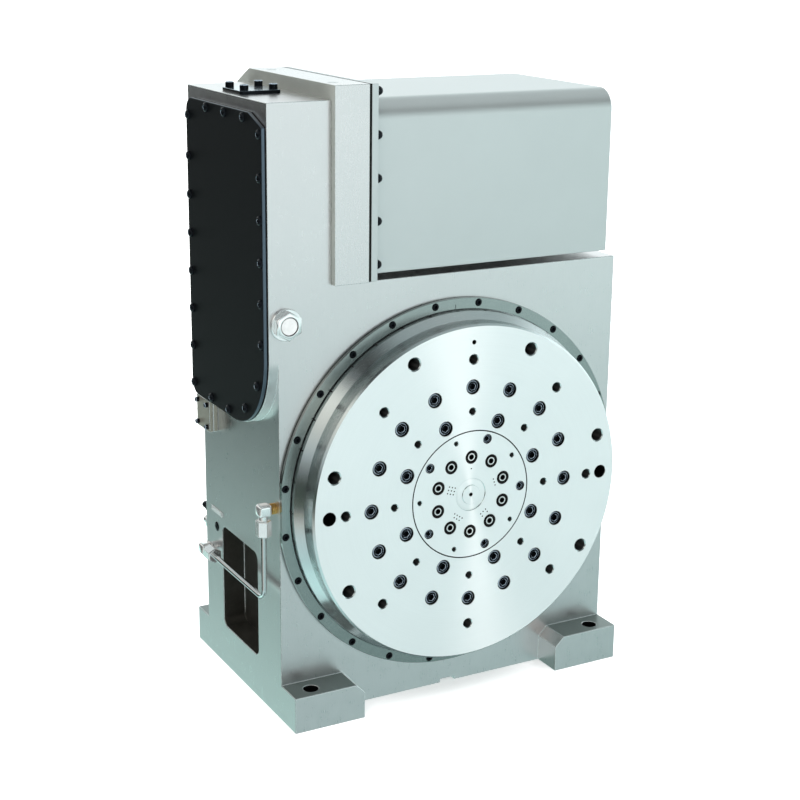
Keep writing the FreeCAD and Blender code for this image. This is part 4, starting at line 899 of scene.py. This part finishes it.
# The lower part of the ring's outer side and its inner wall are painted dark: painted shade.
sink(ring, outer, [(277.5, -0.5), (277.5, -5), (277.3, -5.2, 1), (277.3, -7, 1), (261.5, -7)], close=False)
sink(ring, inner, [(261.5, -0.5), (261.5, -7, 1)], close=False)
join_points(ring)
for side in (-1, 1):
    whole = ring.verts[:] + ring.edges[:] + ring.faces[:]
    cut = bmesh.ops.bisect_plane(
        ring, geom=whole, plane_co=(SIDE_X * side, 0, 0), plane_no=(side, 0, 0), clear_outer=True,
    )
    bmesh.ops.holes_fill(ring, edges=only(BMEdge, cut["geom_cut"]))
ring = put(ring, (0, RING_Y, AXIS_Z))
make("front_ring_disc", ring, [ring_steel, painted_hole_shade], node="front_ring")
ring_screws = spread(cap_head(6), at_axis(RING_SPOTS, RING_Y + 5), "front")
make("front_ring_screws", ring_screws, [screw_black, screw_black])

mark = rectangle(-2.8, AXIS_Z + 262.5, -2.0, AXIS_Z + 268.6)
pointer = prism(mark, "Y", RING_Y - 0.06, RING_Y + 0.5)
make("zero_line", pointer, [mark_black])

# %% [markdown]
# ## Oil sight glass
# A bright hexagon screwed into the gear case, with a round window. The collar and the seat of the window are
# turned; the hexagon is a six-sided ring whose upper edge is drawn in.

# %% Sight glass
SIGHT = (-263, -137, 583)
collar = turned([(0, 0), (21.7, 0), (22.5, 0.8), (22.5, 3.2), (21.7, 4), (0, 4)], 64)
nut = bmesh.new()
reach = corner_r(36)
rim = ring_of(nut, reach, 6, height=4)
side = sink(nut, rim, [(reach, 12.6), (reach - 2.4, 14)], close=False)
seat = ring_of(nut, 13.2, 48, height=14)
fill_between(nut, side + seat)
sink(nut, seat, [(12.8, 13.6), (12.8, 11, 1)])
bmesh.ops.edgeloop_fill(nut, edges=rim)
sight = put(added(collar, nut), SIGHT)
NUT = [bright_plate, seal_black]
make("sight_nut", sight, NUT, node="sight_glass_body", edge=0.5)
pane = turned([(0, 11.1), (11.9, 11.1), (11.9, 12.6), (11.3, 13.1), (0, 13.5)], 48)
make("sight_pane", put(pane, SIGHT), [sight_clear], node="sight_glass_window")

# %% [markdown]
# ## Hydraulic line
# A steel tube runs from a fitting at the front of the left side, down, and back to a second one. A circle
# is pulled along the first run, spun round the corner, and pulled along the second; both ends are closed.

# %% Tube
LINE_X = -292
FRONT_CORNER = Vector((LINE_X, -121, 318))
REAR_CORNER = Vector((LINE_X, 98, 185))
TUBE_START = FRONT_CORNER + Vector((0, 0, -14))
TUBE_END = REAR_CORNER + Vector((0, -14, 0))


def pipe(start, corner, end, bend, radius):
    """A round rod from start to end, with a quarter bend at its corner."""
    first = (corner - start).normalized()
    last = (end - corner).normalized()
    bm = bmesh.new()
    rim = ring_of(bm, radius, steps=20)
    aim = Vector((0, 0, 1)).rotation_difference(first).to_matrix().to_4x4()
    bmesh.ops.transform(bm, matrix=Matrix.Translation(start) @ aim, verts=bm.verts)
    bmesh.ops.edgeloop_fill(bm, edges=rim)

    def pulled(rim, way):
        verts, rim, faces = drawn_out(bm, rim)
        bmesh.ops.translate(bm, vec=way, verts=verts)
        return rim

    rim = pulled(rim, corner - start - first * bend)
    points = list({vert for edge in rim for vert in edge.verts})
    turn = bmesh.ops.spin(
        bm, geom=points + rim, cent=corner - first * bend + last * bend, axis=first.cross(last),
        angle=radians(90), steps=12,
    )["geom_last"]
    rim = pulled(only(BMEdge, turn), end - corner - last * bend)
    bmesh.ops.edgeloop_fill(bm, edges=rim)
    return bm


tube = pipe(TUBE_START, Vector((LINE_X, -121, 185)), TUBE_END, 16, 4)
make("pressure_line", tube, [tube_steel], node="pressure_tube", smooth=50)

# %% [markdown]
# ## Nuts and elbows
# A tube nut is a hexagon whose corners were turned off at both ends, so its end rims are smaller than its
# middle. An elbow is a forged lump: a block with all its edges well rounded, and a turned neck at the nut.

# %% Nuts and elbows of the line
def hexagon_nut(flats, tall, bore):
    """A nut with its corners turned off at both ends."""
    reach = corner_r(flats)
    end = flats / 2 * 0.98
    bm = bmesh.new()
    rim = ring_of(bm, end, 6)
    top = sink(bm, rim, [(reach, 1.2), (reach, tall - 1.2), (end, tall)], close=False)
    for edges, height in ((rim, 0), (top, tall)):
        hole = ring_of(bm, bore, 24, height=height)
        fill_between(bm, edges + hole)
        bmesh.ops.edgeloop_fill(bm, edges=hole)
    return bm


front_nut = put(hexagon_nut(20, 24, 4.05), FRONT_CORNER + Vector((0, 0, -38)), "up")
rear_nut = put(hexagon_nut(20, 24, 4.05), TUBE_END)
nuts = added(front_nut, rear_nut)
make("line_nuts", nuts, [bright_plate], node="tube_nuts", edge=0.4)


def forged_elbow(corner, neck_at, facing):
    """A forged lump round a corner of the line, with a short neck towards its nut."""
    bm = bmesh.new()
    verts = bmesh.ops.create_cube(bm, size=1)["verts"]
    bmesh.ops.scale(bm, vec=(19.6, 18, 18), verts=verts)
    round_edges(bm, bm.edges[:], 4.5, 4)
    bmesh.ops.translate(bm, vec=corner + Vector((0.8, 0, 0)), verts=bm.verts)
    neck = turned([(0, 0), (6.6, 0), (6.6, 6), (0, 6)], 32)
    return added(bm, put(neck, corner + Vector(neck_at), facing))


front_elbow = forged_elbow(FRONT_CORNER, (0, 0, -14), "up")
rear_elbow = forged_elbow(REAR_CORNER, (0, -8, 0), "front")
elbows = added(front_elbow, rear_elbow)
make("line_elbow_bodies", elbows, [bright_plate], node="line_elbows")

nipples = softened("line_nipples", 0.4)
coated(nipples, lambda face: 1 if face.calc_center_median().y > 0 else 0)
make("line_nipple_bodies", nipples, [brass, bright_plate], node="line_nipples")

# %% [markdown]
# ## Small pieces on the left side
# A terminal box, a bare tag and a fitting sit near the rear edge. They are plain blocks with rounded edges;
# what makes them read as real is the gap between box and lid, and their screws. A black plug closes an oil
# hole, and a bleed screw stands out at the back.

# %% Terminal box, tag and fitting
block("terminal_housing", "terminal_box", 1.2, box_olive)
block("terminal_cover", "terminal_lid", 0.8, box_olive)
block("tag_bare_plate", "tag_plate", 0.3, tag_bare)
block("rear_union", "rear_fitting", 0.9, bright_plate)
terminal_spots = [(-288, y, z) for y in (88, 123) for z in (380, 414)]
screws("terminal_screws", cap_head(5), terminal_spots, "left")

rivets = spread(round_head(1.6, 0.9, 0.8), [(-275.2, y, 243.2) for y in (74, 111)], "left")
make("tag_rivets", rivets, [ground_steel], smooth=25)
side_plug = put(round_head(7.5, 1.6, 6), (-274, 95, 218), "left")
make("side_plug", side_plug, [screw_black], smooth=25)
bleed = turned([(0, 0), (6, 0), (6, 5), (4, 5.6), (4, 13), (5.2, 13.6), (5.2, 19), (4.4, 20), (0, 20)], 24)
make("bleed_screw", put(bleed, (-268, 137, 233), "back"), [screw_black])

# %% [markdown]
# ## Screws at the back and on the right
# The rear flange, the two caps and the end cap of the worm are held by cap screws on their bolt circles.

# %% Screws of the flange and the caps
screws("rear_flange_screws", cap_head(10), at_axis(evenly(209, 12, 15), 151), "back")
cap_spots = at_axis(evenly(138, 8, 22.5), 161) + at_axis(evenly(80, 6, 0), 173)
screws("rear_cap_screws", cap_head(8), cap_spots, "back")
WORM_Y, WORM_HEIGHT = -30, 531
worm_spots = [(286, WORM_Y + y, WORM_HEIGHT + z) for y, z in evenly(59, 6, 30)]
screws("worm_cap_screws", cap_head(8), worm_spots, "right")

# %% [markdown]
# ## Floor
# The photograph has a plain white ground with hardly a shadow, so the floor glows a little. It is kept out
# of the reflections, where the sky below the horizon takes its place.

# %% White floor
def studio_piece(name, bm, finish_name, glow, cloud_size):
    """A large white matte piece of the studio that gives off a little light."""
    finish = Finish(finish_name, Roughness=0.9, Specular_IOR_Level=0.0, Emission_Strength=glow)
    clouds = finish.noise(cloud_size)
    mesh = mesh_of(name, bm)
    mesh.materials.append(finish.wire(Base_Color=finish.blend(clouds, grey(0.92), grey(0.94))))
    return linked(name, mesh)


ground = bmesh.new()
bmesh.ops.create_grid(ground, x_segments=1, y_segments=1, size=60)
floor = studio_piece("floor", ground, "floor_white", 0.4, 8.0)
floor.visible_glossy = False

# %% [markdown]
# ## Backdrop
# A low camera would look past the floor at the studio walls, which are only there to be mirrored. White
# paper hangs behind the machine instead: a dome that only the camera sees. It casts no shadow.

# %% White dome
paper = bmesh.new()
bmesh.ops.create_uvsphere(paper, u_segments=48, v_segments=24, radius=50)
dome = studio_piece("backdrop", paper, "paper_white", 1.1, 0.4)
for kind in ("diffuse", "glossy", "transmission", "volume_scatter", "shadow"):
    setattr(dome, "visible_" + kind, False)

# %% [markdown]
# ## Lamps
# A wide sun from above whitens the floor and the tops. A large lamp at the front right lights the face of
# the table, and a small one at the front left lights that side. All three are kept out of the reflections,
# so that the steel mirrors the sky alone.

# %% Lamps
def lamp(name, kind, at, target, energy, size):
    data = bpy.data.lights.new(name, kind)
    data.energy = energy
    if kind == "SUN":
        data.angle = radians(size)
    else:
        data.shape = "DISK"
        data.size = size
    item = linked(name, data)
    item.location = at
    item.rotation_euler = (Vector(target) - Vector(at)).to_track_quat("-Z", "Y").to_euler()
    item.visible_glossy = False


lamp("overhead", "SUN", (0, 0, 4), (0.02, 0.0, 0), 4.2, 70)
lamp("front_right", "AREA", (1.2, -3.6, 1.4), (0, 0, 0.4), 20, 2.2)
lamp("front_left", "AREA", (-2.6, -2.4, 2.2), (-0.2, 0, 0.6), 12, 0.5)
print("lamps:", len(bpy.data.lights))

# %% [markdown]
# ## Sky
# Polished steel looks like what it mirrors. The sky is drawn as the walls of a studio, each a row of tones.
# The front and back walls run from the ground to the ceiling: both are bright at eye height, and the front
# one darkens towards the ground and towards the right. The left side is dark, with one long lamp that runs
# past the machine from front to back, so its tones follow the angle round that lamp instead of the height.
# Its rear part is what the flat sides mirror, and its front part what the slanted edges mirror.

# %% Studio walls
world = bpy.data.worlds.new("studio")
bpy.context.scene.world = world
world.use_nodes = True
sky = Graph(world.node_tree)
x, y, z = sky.split(sky.node("TexCoord", output="Generated"))
height = z * 0.5 + 0.5
lean = z.maths("ARCTAN2", z, -1 * x) * (1 / pi) + 0.5

PEARL = (0.91, 0.99, 1.0)
ICE = (0.86, 1.0, 1.01)
SEA = (0.74, 1.0, 1.0)
MINT = (0.66, 1.0, 0.94)
MOSS = (0.74, 1.0, 0.80)
WARM = (1.0, 0.97, 0.90)


def wall(where, *runs):
    """Runs of one tint each, with tones at places from 0, straight down, to 1, straight up."""
    stops = [(place, grey(value, tint)) for tint, *tones in runs for place, value in tones]
    return sky.node("ValToRGB", {"stops": stops}, {0: where})


front_low = [(0.05, 0.12), (0.20, 0.58), (0.23, 0.55), (0.25, 0.24), (0.265, 0.18), (0.28, 0.34)]
front_wall = wall(
    height, (SEA, *front_low, (0.30, 0.45), (0.345, 0.52)), (ICE, (0.37, 0.70), (0.40, 0.80)),
    (PEARL, (0.43, 0.89), (0.46, 0.95), (0.53, 0.82)),
    (ICE, (0.62, 0.56), (0.69, 0.40), (0.74, 0.12), (0.78, 0.05), (0.88, 0.22), (1.0, 0.26)),
)
back_wall = wall(
    height, (SEA, (0.05, 0.12), (0.20, 0.35)), (ICE, (0.30, 0.72)),
    (PEARL, (0.45, 0.85), (0.55, 1.0), (0.68, 1.0)), (ICE, (0.80, 0.45), (1.0, 0.26)),
)
left_back = wall(
    lean, (MINT, (0.05, 0.50), (0.15, 0.90), (0.22, 1.0), (0.24, 0.42), (0.252, 0.04)),
    (MOSS, (0.265, 0.005), (0.36, 0.0), (0.48, 0.01)), (PEARL, (0.53, 0.10), (0.58, 0.32)),
    (WARM, (0.70, 0.64), (0.76, 0.80)), (PEARL, (0.80, 0.14), (0.84, 0.01), (1.0, 0.04)),
)
left_front = wall(
    lean, (SEA, (0.05, 0.45), (0.15, 0.62), (0.25, 0.60)), (ICE, (0.32, 0.54)), (WARM, (0.36, 0.42)),
    (MOSS, (0.40, 0.06), (0.47, 0.03)), (PEARL, (0.51, 0.16), (0.56, 0.38)),
    (WARM, (0.65, 0.54), (0.74, 0.74)), (PEARL, (0.79, 0.18), (0.84, 0.02), (1.0, 0.05)),
)
to_front = sky.between(y, -0.05, -0.6)
to_left = sky.between(x, -0.05, -0.30)
to_right = sky.between(x, 0.43, 0.60)
shade = sky.blend(to_right, grey(1.0), grey(1.0, (0.75, 0.85, 0.83)))
front_wall = sky.blend(1.0, front_wall, shade, "MULTIPLY")
left_wall = sky.blend(sky.between(y, 0.3, -0.05), left_back, left_front)
studio = sky.blend(to_left, sky.blend(to_front, back_wall, front_wall), left_wall)
STUDIO_LIGHT = 1.3
sky.feed(sky.tree.nodes["Background"], {"Color": studio, "Strength": STUDIO_LIGHT})
print("sky nodes:", len(sky.tree.nodes))

# %% [markdown]
# ## Camera
# The camera was found from points whose places are known, such as the corners of the feet and the table's
# circles. Its long lens and its small shift give the same perspective and framing as the photograph.

# %% Camera
AZIMUTH, ELEVATION, ROLL = [radians(angle) for angle in (-28.817, 15.665, 0.654)]
IMAGE, FOCAL, CENTRE_X, CENTRE_Y = 800, 1620.47, 401.68, 377.34
SENSOR = 36
CAMERA_AT = (-1.14323, -2.06191, 1.10364)
optics = bpy.data.cameras.new("camera")
optics.sensor_width = SENSOR
optics.lens = SENSOR * FOCAL / IMAGE
optics.shift_x = 0.5 - CENTRE_X / IMAGE
optics.shift_y = CENTRE_Y / IMAGE - 0.5
camera = linked("camera", optics)
tilt = Matrix.Rotation(radians(90) - ELEVATION, 4, "X") @ Matrix.Rotation(ROLL, 4, "Z")
camera.matrix_world = Matrix.Translation(CAMERA_AT) @ Matrix.Rotation(AZIMUTH, 4, "Z") @ tilt
bpy.context.scene.camera = camera
bpy.context.scene.view_settings.view_transform = "Standard"
print("lens", round(optics.lens, 2), "mm")

# %% [markdown]
# ## Sizes
# The pieces must not make the object larger than its solids.
